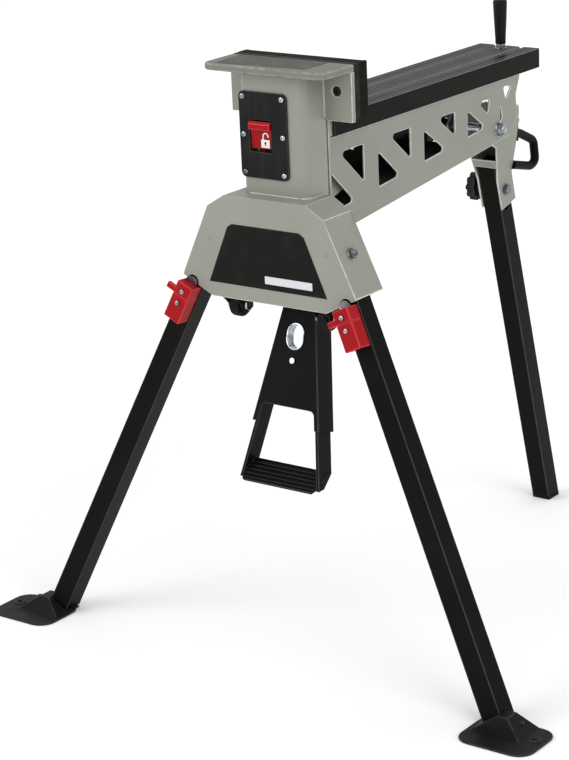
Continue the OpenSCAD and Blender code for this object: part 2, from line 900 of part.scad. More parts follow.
module leg_pivot_bolts() {
    color(steel)
        both_sides()
            side_frame() {
                rod_x(leg_bolt_r, cheek_inner - hinge_nut[1] - 2, hinge_washer[1] + hinge_nut[1] + 2.5, 0, 0);
                rod_x(hinge_washer[0], 0, hinge_washer[1], 0, 0);
                for (x = [hinge_washer[1], cheek_inner - hinge_nut[1]])
                    hex_x(hinge_nut[0], x, x + hinge_nut[1], 0, 0);
            }
}

module beam_end_plate() {
    color(paint)
        difference() {
            block([-column_half_w, column_half_w], [jaw_y, beam_front],
                [beam_top - beam_front_h, wing_bottom]);
            rod_y(release_r + release_gap, jaw_y - cut, beam_front + cut, release_x, release_z);
        }
}

// Height of the beam's lower edge at y
function beam_edge(y) = beam_top - beam_front_h
    + (beam_front_h - beam_rear_h) * (y - beam_front) / (beam_fold_y - beam_front);

// Points given from the rear pivot, in the row's YZ plane
function from_pivot(points) = [for (p = points) [pivot_y + p[0], pivot_z + p[1]]];

module beam_side_plate() {
    outline = concat([[beam_front, beam_top], [beam_front, beam_edge(beam_front)],
        [beam_fold_y, beam_edge(beam_fold_y)]], from_pivot([[30, -15], [56, 10], [52, 44]]),
        [[beam_end_y, beam_top - 4], [beam_end_y, beam_top]]);
    cell_top = beam_top - chord_top;
    difference() {
        prism_x(rounded(outline, [0, 0, 14, 18, 20, 14, 2, 0]), beam_inner, beam_half_w);
        for (i = [0:len(upper_cells) - 1]) {
            far = lattice_front + (i + 1) * lattice_pitch - strut_w;
            lattice_hole([[far - upper_cells[i][0], cell_top], [far, cell_top - upper_cells[i][1]],
                [far, cell_top]], upper_cell_r);
        }
        for (i = [0:len(lower_cells) - 1]) {
            near = lattice_front + i * lattice_pitch;
            tip = near + lower_cells[i][0];
            low = beam_edge(near) + chord_bottom;
            lattice_hole([[near, low], [tip, beam_edge(tip) + chord_bottom], [near, low + lower_cells[i][1]]],
                lower_cell_r);
        }
        lattice_hole(from_pivot(last_cell), 2.5);
        lattice_hole(from_pivot(pivot_slit), 1);
        lattice_hole(from_pivot(rear_triangle), 3);
        rod_x(rear_bolt_r, beam_inner - cut, beam_half_w + cut, pivot_y, pivot_z);
    }
    block([beam_half_w - sheet_t - flange_w, beam_inner + sheet_t / 2], [beam_front, flange_end],
        [beam_top - sheet_t, beam_top]);
}

module lattice_hole(points, r) {
    prism_x(rounded(points, r), beam_inner - cut, beam_half_w + cut);
}

module beam_side_right() {
    color(paint)
        beam_side_plate();
}

module beam_side_left() {
    color(paint)
        mirror([1, 0, 0])
            beam_side_plate();
}

// Folded tray that joins the side plates: its floor follows their lower edges
module beam_tray() {
    color(black)
        union() {
            prism_x(tray_strip(0, tray_t), -beam_inner, beam_inner);
            both_sides()
                prism_x(tray_strip(0, tray_h), beam_inner - tray_t, beam_inner);
        }
}

// Strip between two heights above the tray's underside, from its front end to its rear end
function tray_strip(z0, z1) = [for (p = [[0, z0], [1, z0], [1, z1], [0, z1]])
    [tray_y[p[0]], beam_edge(tray_y[p[0]]) + tray_rise + p[1]]];

module rail_runners() {
    color(nylon)
        both_sides()
            block([runner_in, runner_out], [beam_front, flange_end], [beam_top, runner_top]);
}

// Window for the draw bar, open at the top for the bar's web
module bar_window(y0, y1) {
    block([-bar_half_w - slide_gap, bar_half_w + slide_gap], [y0, y1],
        [bar_bottom - slide_gap, bar_top + slide_gap]);
    block([-web_half_w - slide_gap, web_half_w + slide_gap], [y0, y1], [bar_top, plate_roof + cut]);
}

module hold_block() {
    color(steel)
        difference() {
            union() {
                block([-beam_inner, beam_inner], [hold_y, hold_y + hold_t], [hold_low, beam_top - sheet_t]);
                block([-hold_neck, hold_neck], [hold_y, hold_y + hold_t],
                    [beam_top - sheet_t - cut, plate_roof]);
            }
            bar_window(hold_y - cut, hold_y + hold_t + cut);
            rod_y(rod_r + slide_gap, hold_y - cut, hold_y + hold_t + cut, 0, rod_z);
            rod_y(release_r + slide_gap, hold_y - cut, hold_y + hold_t + cut, release_x, release_z);
        }
}

module rail() {
    near = groove_x;
    far = groove_x + groove_w;
    roof_half = [[rail_half_w, rail_bottom], [rail_half_w, rail_top], [far, rail_top],
        [far - groove_slope, rail_top - groove_d],
        [near + groove_slope, rail_top - groove_d], [near, rail_top]];
    inner = [[rail_half_w - rail_wall, rail_roof], [rail_half_w - rail_wall, rail_bottom]];
    right = concat(inner, roof_half);
    outline = concat(right, [for (i = [len(right) - 1:-1:0]) [-right[i][0], right[i][1]]]);
    color(black)
        difference() {
            prism_y(outline, rail_front, rail_rear);
            rod_z(stud_rod_r, rail_roof - cut, rail_top + cut, 0, grip_y);
        }
}

module draw_bar() {
    y0 = rail_front + bar_inset;
    y1 = rail_rear - bar_inset;
    color(steel)
        difference() {
            union() {
                block([-bar_half_w, bar_half_w], [y0, y1], [bar_bottom, bar_top]);
                block([-web_half_w, web_half_w], [y0, y1], [bar_top - cut, rail_roof]);
                block([-boss_half_w, boss_half_w], [grip_y - boss_l, y1], [bar_bottom, rail_roof]);
            }
            rod_z(stud_rod_r, stud_foot, rail_roof + cut, 0, grip_y);
        }
}

module handle_stud() {
    washer_top = rail_top + stud_washer[1];
    color(steel)
        union() {
            rod_z(stud_rod_r, stud_foot, grip_bottom + stud_l, 0, grip_y);
            rod_z(stud_washer[0], rail_top, washer_top, 0, grip_y);
            translate([0, grip_y, washer_top])
                cylinder(r = stud_nut_r, h = grip_bottom - slide_gap / 2 - washer_top, $fn = 6);
        }
}

// Tapered grip, turned in one piece, that spins on its stud
module grip_handle() {
    bore_r = stud_rod_r + pin_gap;
    round_x = grip_top_r - grip_round;
    round_z = grip_l - grip_round;
    color(black)
        translate([0, grip_y, grip_bottom])
            rotate_extrude()
                polygon(concat([[bore_r, 0], [grip_bottom_r - 1, 0], [grip_bottom_r, 1],
                    [grip_top_r, grip_l - grip_shoulder]],
                    [for (a = [15:15:75]) [round_x + grip_round * cos(a), round_z + grip_round * sin(a)]],
                    [[round_x, grip_l], [0, grip_l], [0, grip_bore], [bore_r, grip_bore]]));
}

module pedal_hanger() {
    low = pedal_z - hanger_low;
    high = pedal_z + hanger_high;
    side = concat([[beam_front, low], [beam_front, high]],
        [for (p = [[6, 16], [16, 6], [16, -8], [6, -16]]) [pedal_y + p[0], pedal_z + p[1]]]);
    color(paint)
        difference() {
            union() {
                both_sides()
                    prism_x(side, hanger_x, hanger_x + sheet_t);
                block([-hanger_x - sheet_t, hanger_x + sheet_t], [beam_front, beam_front + sheet_t],
                    [low, high]);
            }
            rod_x(pedal_pin_r, -hanger_x - sheet_t - cut, hanger_x + sheet_t + cut, pedal_y, pedal_z);
        }
}

module pedal_pivot_pin() {
    head_x = hanger_x + sheet_t;
    color(steel) {
        rod_x(pedal_pin_r, -head_x - pin_head[1], head_x + pin_head[1], pedal_y, pedal_z);
        both_sides()
            rod_x(pin_head[0], head_x, head_x + pin_head[1], pedal_y, pedal_z);
    }
}

// Torsion springs beside the pedal's hub, drawn as the tubes that they fill
module pedal_return_springs() {
    color(steel)
        both_sides()
            difference() {
                rod_x(spring_r, pedal_top_x + 1, hanger_x, pedal_y, pedal_z);
                rod_x(pedal_pin_r, pedal_top_x, hanger_x + cut, pedal_y, pedal_z);
            }
}

// Half width of the pedal at a distance below its pivot
function pedal_half(z) = pedal_top_x + max(0, z - pedal_neck) * pedal_slope;

module pedal_arm() {
    path = [[pedal_top_x, pedal_top], [pedal_top_x, -pedal_neck],
        [pedal_half(pedal_arm_end), -pedal_arm_end]];
    front = mirrored([[pedal_half(pedal_arm_end), -pedal_arm_end], [pedal_top_x, -pedal_neck],
        [pedal_top_x, arm_cut]]);
    y0 = pedal_front - cut;
    y1 = pedal_front + sheet_t + cut;
    color(black)
        pedal_frame()
            difference() {
                union() {
                    prism_y(front, pedal_front, pedal_front + sheet_t);
                    both_sides()
                        prism_y(strip(path, -sheet_t), pedal_front, pedal_rear);
                    rod_x(hub_r, -pedal_top_x, pedal_top_x, 0, 0);
                }
                rod_x(pedal_pin_r + pin_gap, -pedal_top_x - cut, pedal_top_x + cut, 0, 0);
                prism_y(window_outline(arm_lip, window_top, pedal_arm_end + cut, 0), y0, y1);
                sleeve_outline(sleeve_r, y0, y1);
                rod_y(pedal_bolt_r, y0, y1, 0, -pedal_bolt_z);
                block([-hub_room, hub_room], [y0, pedal_rear], [arm_cut, pedal_top + 2 * cut]);
            }
}

// Window's outline between two depths: its sides leave a lip of the given width along the pedal's edges
function window_outline(lip, top, bottom, low_r) = rounded(
    [[-pedal_half(bottom) + lip, -bottom], [pedal_half(bottom) - lip, -bottom],
    [pedal_half(top) - lip, -top], [-pedal_half(top) + lip, -top]], [low_r, low_r, window_r, window_r]);

// Oblong shape of the rim, in the pedal's frame
module sleeve_outline(r, y0, y1) {
    half = sleeve_half_l - sleeve_r;
    rod_y(r, y0, y1, 0, -sleeve_z + half);
    rod_y(r, y0, y1, 0, -sleeve_z - half);
    block([-r, r], [y0, y1], [-sleeve_z - half, -sleeve_z + half]);
}

module pedal_sleeve() {
    y0 = pedal_front - sleeve_out;
    color(steel)
        pedal_frame()
            difference() {
                sleeve_outline(sleeve_r, y0, y0 + sleeve_l);
                sleeve_outline(sleeve_r - sleeve_wall, y0 - cut, y0 + sleeve_l + cut);
            }
}

// Steel lever on the hub; its pin pulls the rod
module pedal_lever() {
    color(steel)
        translate([0, pedal_y, pedal_z])
            rotate([-lever_lead, 0, 0])
                union() {
                    for (x = [-lever_x - lever_t, lever_x])
                        difference() {
                            union() {
                                rod_x(lever_hub_r, x, x + lever_t, 0, 0);
                                rod_x(lever_eye_r, x, x + lever_t, 0, lever_l);
                                prism_x([[-lever_hub_r, 0], [lever_hub_r, 0], [lever_eye_r, lever_l],
                                    [-lever_eye_r, lever_l]], x, x + lever_t);
                            }
                            rod_x(hub_r, x - cut, x + lever_t + cut, 0, 0);
                        }
                    rod_x(lever_pin_r, -lever_x - lever_t, lever_x + lever_t, 0, lever_l);
                }
}

module pull_rod() {
    slot_half = lever_pin_r + 0.8;
    eye_end = pin_y + 14;
    color(steel)
        union() {
            difference() {
                block([-rod_eye_half, rod_eye_half], [pin_y - 12, eye_end], [rod_z - 9, rod_z + 9]);
                block([-rod_eye_half - cut, rod_eye_half + cut], [pin_y - slot_half, pin_y + slot_half],
                    [rod_z - 6, rod_z + 6]);
            }
            rod_y(rod_r, eye_end, drive_y + plate_t + 2 * rod_collar[1], 0, rod_z);
            for (y = [drive_y - rod_collar[1], drive_y + plate_t])
                rod_y(rod_collar[0], y, y + rod_collar[1], 0, rod_z);
        }
}

module drive_plate() {
    color(steel)
        difference() {
            block([-plate_half_w, plate_half_w], [drive_y, drive_y + plate_t], [plate_low, plate_roof]);
            bar_window(drive_y - cut, drive_y + plate_t + cut);
            rod_y(rod_r, drive_y - cut, drive_y + plate_t + cut, 0, rod_z);
        }
}

// Lower frame, nested inside the arm and bolted to it: two side straps and the sloping ribbed tread
module pedal_foot() {
    fit = sheet_t + foot_fit;
    x_top = pedal_half(foot_frame_top) - fit;
    x_low = pedal_half(pedal_l) - fit;
    path = [[x_top, -foot_frame_top], [x_low, -pedal_l]];
    side = [[foot_front, -foot_frame_top], [foot_front, 5.5 - pedal_l], [0, 9 - pedal_l],
        [foot_rear, tread_rear[1]], [foot_rear, -foot_frame_top]];
    tread = mirrored([[x_low - tread_bevel, -pedal_l], [x_low - sheet_t, tread_bevel - pedal_l],
        [x_low - sheet_t, tread_rear[1] + 2 * tread_t]]);
    y0 = foot_front - cut;
    y1 = foot_front + sheet_t + cut;
    color(black)
        pedal_frame()
            union() {
                difference() {
                    prism_y(mirrored([[x_low, -pedal_l], [x_top, -foot_frame_top]]), foot_front,
                        foot_front + sheet_t);
                    rod_y(pedal_bolt_r, y0, y1, 0, -pedal_bolt_z);
                    prism_y(window_outline(fit + foot_lip, window_top, pedal_l + cut, 0), y0, y1);
                    block([-pedal_l, pedal_l], [y0, y1], [-pedal_l - cut, 5.5 - pedal_l]);
                }
                intersection() {
                    both_sides()
                        prism_y(strip(path, -sheet_t), foot_front, foot_rear);
                    prism_x(side, -pedal_l, pedal_l);
                }
                intersection() {
                    union() {
                        prism_x(strip([tread_low, tread_rear], tread_t), -x_low, x_low);
                        for (i = [1:ribs])
                            tread_rib(i / (ribs + 1), x_low);
                    }
                    prism_y(tread, -pedal_l, pedal_l);
                }
            }
}

// Rib across the tread, at a share of the way up its slope
module tread_rib(share, half_x) {
    across = [tread_low[1] - tread_rear[1], tread_rear[0] - tread_low[0]] / norm(tread_rear - tread_low);
    place = tread_low + share * (tread_rear - tread_low) + tread_t * across;
    rod_x(rib_r, -half_x, half_x, place[0], place[1]);
}

// Bolt and nut that join the pedal's two frames
module pedal_bolt() {
    back = foot_front + sheet_t;
    color(steel)
        pedal_frame() {
            rod_y(pedal_bolt_r, pedal_front, back + pedal_nut[1] + 1, 0, -pedal_bolt_z);
            rod_y(pedal_bolt_head[0], pedal_front - pedal_bolt_head[1], pedal_front, 0, -pedal_bolt_z);
            rod_y(pedal_nut[0], back, back + pedal_nut[1], 0, -pedal_bolt_z);
        }
}

module roller_brackets() {
    x0 = roller_x - roller_gap - roller_arm_t;
    x1 = roller_end + roller_gap + roller_arm_t;
    side = [[roller_web_y, roller_high], [roller_web_y, roller_low], [roller_y - roller_arm_r, roller_z],
        [roller_y + roller_arm_r, roller_z], [roller_y + roller_arm_r, roller_low],
        [roller_web_y + roller_web_w, roller_high]];
    color(black)
        both_sides()
            difference() {
                union() {
                    for (x = [x0, x1 - roller_arm_t]) {
                        prism_x(side, x, x + roller_arm_t);
                        rod_x(roller_arm_r, x, x + roller_arm_t, roller_y, roller_z);
                    }
                    block([x0, x1], [roller_web_y, roller_web_y + roller_arm_t], [roller_low, roller_high]);
                }
                rod_x(roller_bolt_r, x0 - cut, x1 + cut, roller_y, roller_z);
            }
}

module roller_bolts() {
    x0 = roller_x - roller_gap - roller_arm_t;
    x1 = roller_end + roller_gap + roller_arm_t;
    color(steel)
        both_sides() {
            rod_x(roller_bolt_r, x0 - 3, x1 + 3, roller_y, roller_z);
            for (x = [x0 - roller_nut[1], x1])
                hex_x(roller_nut[0], x, x + roller_nut[1], roller_y, roller_z);
        }
}

module transport_roller() {
    bore_r = roller_bolt_r + pin_gap;
    rim_r = roller_r - roller_edge;
    translate([roller_x, roller_y, roller_z])
        rotate([0, 90, 0])
            rotate_extrude()
                polygon([[bore_r, 0], [rim_r, 0], [roller_r, roller_edge], [roller_r, roller_w - roller_edge],
                    [rim_r, roller_w], [bore_r, roller_w]]);
}

module transport_roller_left() {
    color(black)
        mirror([1, 0, 0])
            transport_roller();
}

module transport_roller_right() {
    color(black)
        transport_roller();
}

// Square tube, bored at the pivot, cut level with the foot plate
module front_leg() {
    difference() {
        leg_frame()
            difference() {
                block([leg_inner, leg_outer], [-leg_size / 2, leg_size / 2], [-leg_end, leg_top]);
                block([leg_inner + leg_wall, leg_outer - leg_wall],
                    [-leg_size / 2 + leg_wall, leg_size / 2 - leg_wall], [-leg_end - cut, leg_top + cut]);
                rod_x(leg_bolt_r + pin_gap, leg_inner - cut, leg_outer + cut, 0, 0);
            }
        block([0, 2 * foot_x], [-bench_h, bench_h], [-bench_h, foot_t]);
    }
}

module front_leg_left() {
    color(black)
        on_side(-1)
            front_leg();
}

module front_leg_right() {
    color(black)
        on_side(1)
            front_leg();
}

// Pressed plate with a raised boss round the leg's front and outer side, and a hole for a floor screw
module foot_plate() {
    x0 = foot_x - foot_inward;
    y0 = foot_y - foot_forward;
    hole_x = foot_x + foot_hole_x;
    hole_y = foot_y - foot_hole_y;
    difference() {
        union() {
            linear_extrude(foot_t)
                polygon(rounded(box2(x0, y0, x0 + foot_w, y0 + foot_d), foot_r, 6));
            foot_boss(0, foot_t - cut);
            rod_z(foot_hole_r, foot_t, boss_rivet_top, foot_x + boss_rivet[0], foot_y + boss_rivet[1]);
            rod_z(foot_hole_r + 6, foot_t, foot_t + 1.5, hole_x, hole_y);
        }
        difference() {
            foot_boss(foot_t, -cut);
            leg_room(foot_t);
        }
        difference() {
            leg_room(slide_gap);
            block([0, bench_h], [-bench_h, bench_h], [-bench_h, foot_t]);
        }
        rod_z(foot_hole_r, -cut, foot_t + 2 + cut, hole_x, hole_y);
    }
}

// Boss on a foot plate, made smaller all round by t, from a given height up
module foot_boss(t, low) {
    back = t * boss_back;
    hull()
        translate([foot_x, foot_y, 0]) {
            block([boss_foot_x[0] + back, boss_foot_x[1] - back], [boss_foot_y[0] + back, boss_foot_y[1] - back],
                [low, foot_t]);
            block([boss_x[0] + t, boss_x[1] - t], [boss_y[0] + t, boss_y[1] - t],
                [boss_high - t, boss_high + foot_t - t]);
        }
}

// The leg's tube near its foot, made larger all round by t
module leg_room(t) {
    leg_frame()
        block([leg_inner - t, leg_outer + t], [-leg_size / 2 - t, leg_size / 2 + t], [-leg_end, 0]);
}

module foot_plate_left() {
    color(black)
        on_side(-1)
            foot_plate();
}

module foot_plate_right() {
    color(black)
        on_side(1)
            foot_plate();
}

// Steel strip on the leg that the latch runs on
module latch_track() {
    leg_frame()
        block([leg_mid - track_w / 2, leg_mid + track_w / 2], [latch_back - track_t, latch_back],
            [-latch_bottom + track_short, -latch_top - track_short]);
}

// Channel in the back of a latch part, over the track and the stud's tongue
module latch_channel() {
    half = track_w / 2 + slide_gap;
    block([leg_mid - half, leg_mid + half], [tongue_back - tongue_t, latch_back + cut],
        [-latch_bottom - cut, -latch_top + cut]);
}

// Upper latch part; its finger tab points away from the bench at one leg and towards it at the other
module latch_slider(tab_outwards) {
    bottom = -latch_top - latch_slider_h;
    x0 = leg_mid - latch_w / 2;
    x1 = leg_mid + latch_w / 2;
    tab = tab_outwards ? [x1 - 1, x1 + tab_l] : [x0 - tab_l, x0 + 1];
    leg_frame()
        difference() {
            union() {
                block([x0, x1], [latch_front, latch_back - slide_gap], [bottom, -latch_top]);
                block(tab, [latch_front, latch_front + tab_t], [bottom, bottom + tab_h]);
            }
            latch_channel();
            stud_disc();
            latch_screws(latch_front - cut);
        }
}

module latch_cover() {
    top = -latch_top - latch_slider_h - latch_split;
    x0 = leg_mid - latch_w / 2;
    x1 = leg_mid + latch_w / 2;
    leg_frame()
        difference() {
            block([x0, x1], [latch_front, latch_back - slide_gap], [-latch_bottom, top]);
            latch_channel();
            latch_screws(latch_front - cut);
        }
}

// Round stud whose axis runs front to rear, so that the leg can fold past the cowl's notch
module stud_disc() {
    translate([leg_mid, 0, stud_z])
        rotate([leg_lean, 0, 0])
            rod_y(stud_r, tongue_back - stud_gap - stud_depth, tongue_back - stud_gap, 0, 0);
}

// The two screws of a latch, from its front face to the tongue
module latch_screws(front) {
    for (drop = latch_screw_drops)
        rod_y(latch_screw_r, front, tongue_back - tongue_t, leg_mid, -latch_top - drop);
}

// Steel tongue that joins both latch parts, the stud on its upper end, and the two screws
module latch_stud() {
    leg_frame()
        union() {
            block([leg_mid - tongue_half_w, leg_mid + tongue_half_w], [tongue_back - tongue_t, tongue_back],
                [-latch_bottom + track_short, stud_z]);
            stud_disc();
            latch_screws(latch_front - latch_screw_out);
        }
}

module latch_track_left() {
    color(steel)
        on_side(-1)
            latch_track();
}

module latch_track_right() {
    color(steel)
        on_side(1)
            latch_track();
}

module latch_slider_left() {
    color(red)
        on_side(-1)
            latch_slider(tab_outwards = true);
}

module latch_slider_right() {
    color(red)
        on_side(1)
            latch_slider(tab_outwards = false);
}

module latch_cover_left() {
    color(red)
        on_side(-1)
            latch_cover();
}

module latch_cover_right() {
    color(red)
        on_side(1)
            latch_cover();
}

module latch_stud_left() {
    color(steel)
        on_side(-1)
            latch_stud();
}

module latch_stud_right() {
    color(steel)
        on_side(1)
            latch_stud();
}

// Pivot bolt with spacers and domed nuts
module rear_pivot_bolt() {
    nut_x = beam_half_w + pivot_washer[1];
    color(steel) {
        rod_x(rear_bolt_r, -nut_x - dome_base, nut_x + dome_base, pivot_y, pivot_z);
        both_sides() {
            rod_x(spacer_r, bracket_half_w + slide_gap, beam_inner, pivot_y, pivot_z);
            rod_x(pivot_washer[0], beam_half_w, nut_x, pivot_y, pivot_z);
            translate([nut_x, pivot_y, pivot_z])
                rotate([0, 90, 0])
                    rotate_extrude()
                        polygon(concat([[0, 0], [dome_r, 0], [dome_r, dome_base]],
                            [for (a = [10:10:80]) [dome_r * cos(a), dome_base + dome_h * sin(a)]],
                            [[0, dome_base + dome_h]]));
        }
    }
}

// Folded yoke: two cheeks joined by a rear web and a narrow front web, tapering down to the tube
module rear_bracket() {
    far = bench_h;
    path = [[bracket_half_w, bracket_flat], [bracket_half_w, -bracket_flat], [bracket_low, -bracket_taper],
        [bracket_low, -bracket_end]];
    side = concat([[bracket_front, -bracket_end]], bracket_back, bracket_crown,
        [[bracket_front, -bracket_throat]]);
    web_front = rear_tube_back - rear_size / 2 - slide_gap - sheet_t;
    web_low = -rear_tube_top - sheet_t;
    color(paint)
        difference() {
            rear_frame()
                difference() {
                    union() {
                        intersection() {
                            both_sides()
                                prism_y(strip(path, -sheet_t), -far, far);
                            prism_x(side, -far, far);
                        }
                        intersection() {
                            prism_x(strip(bracket_back, sheet_t), -far, far);
                            prism_y(mirrored([for (i = [len(path) - 1:-1:0]) path[i]]), -far, far);
                        }
                        block([-cross_web_half, cross_web_half], [web_front, web_front + sheet_t],
                            [web_low, web_low + cross_web_h]);
                    }
                    rod_x(rear_bolt_r + pin_gap, -far, far, 0, 0);
                    rod_x(clamp_r, -far, far, rear_tube_back, -clamp_drop);
                }
            loop_bolt_hole();
        }
}

// Bent round bar, cut to seat on the bracket's web, with a flat tab for its bolt
module loop_handle() {
    low = bracket_back[2];
    rise = bracket_back[3] - low;
    path = from_pivot(loop_path);
    color(black)
        difference() {
            union() {
                rear_frame()
                    prism_x(strip([low + loop_tab[0] * rise, low + loop_tab[1] * rise], -loop_tab_t),
                        loop_x - loop_r, loop_x + loop_r);
                for (i = [0:len(path) - 2])
                    bar_between(path[i], path[i + 1], loop_r);
                for (i = [1:len(path) - 2])
                    translate([loop_x, path[i][0], path[i][1]])
                        sphere(r = loop_r + 0.05);
            }
            rear_frame()
                prism_x(concat([[-bench_h, -bracket_end]], bracket_back, [[-bench_h, -6]]),
                    -bench_h, bench_h);
            loop_bolt_hole();
        }
}

// Bolt through the loop handle's tab and the bracket's web
module loop_bolt_hole(r = loop_bolt_r, from = -4 * sheet_t, to = 4 * sheet_t) {
    rod_y(r, pivot_y + loop_seat + from, pivot_y + loop_seat + to, loop_x, pivot_z - loop_bolt_drop);
}

// Round bar between two points of the loop's plane
module bar_between(a, b, r) {
    d = b - a;
    translate([loop_x, a[0], a[1]])
        rotate([-atan2(d[0], d[1]), 0, 0])
            cylinder(r = r, h = norm(d));
}

module loop_handle_bolt() {
    back = loop_tab_t + slide_gap;
    web = -sheet_t - slide_gap;
    color(steel) {
        loop_bolt_hole(loop_bolt_r, web - loop_nut[1], back + 1);
        loop_bolt_hole(loop_head[0], back, back + loop_head[1]);
        loop_bolt_hole(loop_nut[0], web - loop_nut[1], web);
    }
}

module clamp_bolt() {
    nut_x = bracket_low + clamp_washer[1];
    color(steel)
        rear_frame() {
            rod_x(clamp_r, -bracket_low - knob_gap - knob_l + knob_floor, nut_x + clamp_nut[1] / 2,
                rear_tube_back, -clamp_drop);
            rod_x(clamp_washer[0], bracket_low, nut_x, rear_tube_back, -clamp_drop);
            hex_x(clamp_nut[0], nut_x, nut_x + clamp_nut[1], rear_tube_back, -clamp_drop);
        }
}

// Fluted knob on a narrower collar, bored for the clamp bolt
module clamp_knob() {
    x1 = -bracket_low - knob_gap;
    x0 = x1 - knob_l;
    color(black)
        rear_frame()
            difference() {
                union() {
                    rod_x(knob_r, x0, x1 - collar_h, rear_tube_back, -clamp_drop);
                    rod_x(collar_r, x1 - collar_h - cut, x1, rear_tube_back, -clamp_drop);
                }
                translate([0, rear_tube_back, -clamp_drop])
                    for (i = [0:flutes - 1])
                        rotate([360 / flutes * i, 0, 0])
                            rod_x(flute_r, x0 - cut, x1 - collar_h + cut, knob_r + flute_r / 3, 0);
                rod_x(clamp_r + pin_gap, x0 + knob_floor - 2 * pin_gap, x1 + cut, rear_tube_back,
                    -clamp_drop);
            }
}

module rear_tube_solid(inset, z0) {
    rear_frame()
        block([-rear_size / 2 + inset, rear_size / 2 - inset],
            [rear_tube_back - rear_size / 2 + inset, rear_tube_back + rear_size / 2 - inset],
            [-bench_h, z0]);
}

// Square tube with a slot in both side walls for the clamp bolt
module rear_leg() {
    slot_half = clamp_r + slide_gap;
    color(black)
        difference() {
            rear_tube_solid(0, -rear_tube_top);
            rear_tube_solid(leg_wall, 0);
            rear_frame()
                block([-rear_size, rear_size], [rear_tube_back - slot_half, rear_tube_back + slot_half],
                    [-clamp_drop - slot_down - slot_half, -clamp_drop + slot_up + slot_half]);
            block([-rear_size, rear_size], [0, bench_h], [-bench_h, cap_h]);
        }
}

module rear_foot_cap() {
    color(black)
        union() {
            intersection() {
                rear_tube_solid(0, 0);
                block([-rear_size, rear_size], [0, bench_h], [0, cap_h]);
            }
            intersection() {
                rear_tube_solid(leg_wall, 0);
                block([-rear_size, rear_size], [0, bench_h], [cap_h - cut, cap_h + cap_plug]);
            }
        }
}

column();
top_plate();
jaw_wings();
jaw_pad_base();
jaw_pad_face();
jaw_pad_bolts();
switch_plate();
switch_plate_screws();
lock_rocker();
release_rod();
cowl_shell();
cowl_rear_plate();
cowl_label();
cowl_rivets();
leg_hinge_cheeks();
leg_pivot_bolts();
beam_end_plate();
beam_side_left();
beam_side_right();
beam_tray();
rail_runners();
hold_block();
rail();
draw_bar();
handle_stud();
grip_handle();
pedal_hanger();
pedal_pivot_pin();
pedal_return_springs();
pedal_arm();
pedal_lever();
pedal_foot();
pedal_bolt();
pedal_sleeve();
pull_rod();
drive_plate();
roller_brackets();
roller_bolts();
transport_roller_left();
transport_roller_right();
front_leg_left();
front_leg_right();
foot_plate_left();
foot_plate_right();
latch_track_left();
latch_track_right();
latch_slider_left();
latch_slider_right();
latch_cover_left();
latch_cover_right();
latch_stud_left();
latch_stud_right();
rear_pivot_bolt();
rear_bracket();
loop_handle();
loop_handle_bolt();
clamp_bolt();
clamp_knob();
rear_leg();
rear_foot_cap();
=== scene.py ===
"""Looks of a portable clamping workbench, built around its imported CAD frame.

Lengths are written in millimetres in the workbench's own frame (front is -Y, up is +Z, the origin is on
the floor) and turned into metres where a mesh is made.
"""

import json
import logging
import math
from dataclasses import dataclass
from enum import Enum
from typing import Callable, Dict, List, Optional, Sequence, Set, Tuple, Union

import bmesh
import bpy
from mathutils import Matrix, Vector


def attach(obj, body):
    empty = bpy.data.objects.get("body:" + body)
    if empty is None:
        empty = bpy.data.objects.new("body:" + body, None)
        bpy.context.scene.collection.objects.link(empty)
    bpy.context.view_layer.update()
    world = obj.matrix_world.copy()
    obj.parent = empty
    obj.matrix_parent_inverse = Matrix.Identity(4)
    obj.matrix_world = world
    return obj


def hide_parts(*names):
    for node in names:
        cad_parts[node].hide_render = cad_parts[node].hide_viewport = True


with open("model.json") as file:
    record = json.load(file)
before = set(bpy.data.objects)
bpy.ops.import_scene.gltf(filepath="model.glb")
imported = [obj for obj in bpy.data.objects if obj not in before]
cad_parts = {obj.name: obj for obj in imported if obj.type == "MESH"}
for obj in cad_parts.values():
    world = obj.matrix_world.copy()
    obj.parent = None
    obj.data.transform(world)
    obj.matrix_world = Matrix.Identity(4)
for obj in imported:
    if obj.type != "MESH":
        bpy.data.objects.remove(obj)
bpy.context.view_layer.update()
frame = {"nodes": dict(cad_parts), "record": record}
MM = 0.001
EDGE_LAYER = "edge"
# Turns are in degrees, ALIGNED is a cosine, radii are in millimetres and spots in metres.
SMOOTH_TURN = 34.0
FLAT_TURN = 0.6
FOLD_TURN = 60.0
ALIGNED = 0.98
CLOSED_R = 0.05
POINT_R = 0.0005
SAME_SPOT = 2e-6
RING_SPOT = 1e-7
SWEEP_SPOT = 1e-9
# Outlines of rings, as shares of the radius.
FLUTES = 10
FLUTE_DEPTH = 0.085
CROSS_ARM = 0.3
# Weld beads: shares of the radius, and points along the path.
RIPPLE_LOW = 0.82
RIPPLE_RISE = 0.18
RIPPLE_STEPS = 4
TAPER_START = 0.35
TAPER_STEPS = 5
# Most of a straight that a bend may take, and the settings of noise.
BEND_SHARE = 0.45
NOISE_ROUGHNESS = 0.55
FEW_OCTAVES = 2.0
LOG = logging.getLogger("workbench")

Colour = Tuple[float, float, float, float]
Point = Sequence[float]


class Slot(Enum):
    """Material slots of the record."""

    GREY_PAINT = "grey_paint"
    BLACK_PAINT = "black_paint"
    BLACK_PLASTIC = "black_plastic"
    BLACK_RUBBER = "black_rubber"
    BLACK_BACKING = "black_backing"
    BLACK_STEEL = "black_steel"
    RED_PLASTIC = "red_plastic"
    LABEL_FILM = "label_film"
    NYLON = "nylon"
    BRIGHT_STEEL = "bright_steel"
    PLAIN_STEEL = "plain_steel"


class Form(Enum):
    """Outline of one ring of a turned piece."""

    ROUND = "round"
    HEX = "hex"
    CROSS = "cross"
    FLUTED = "fluted"


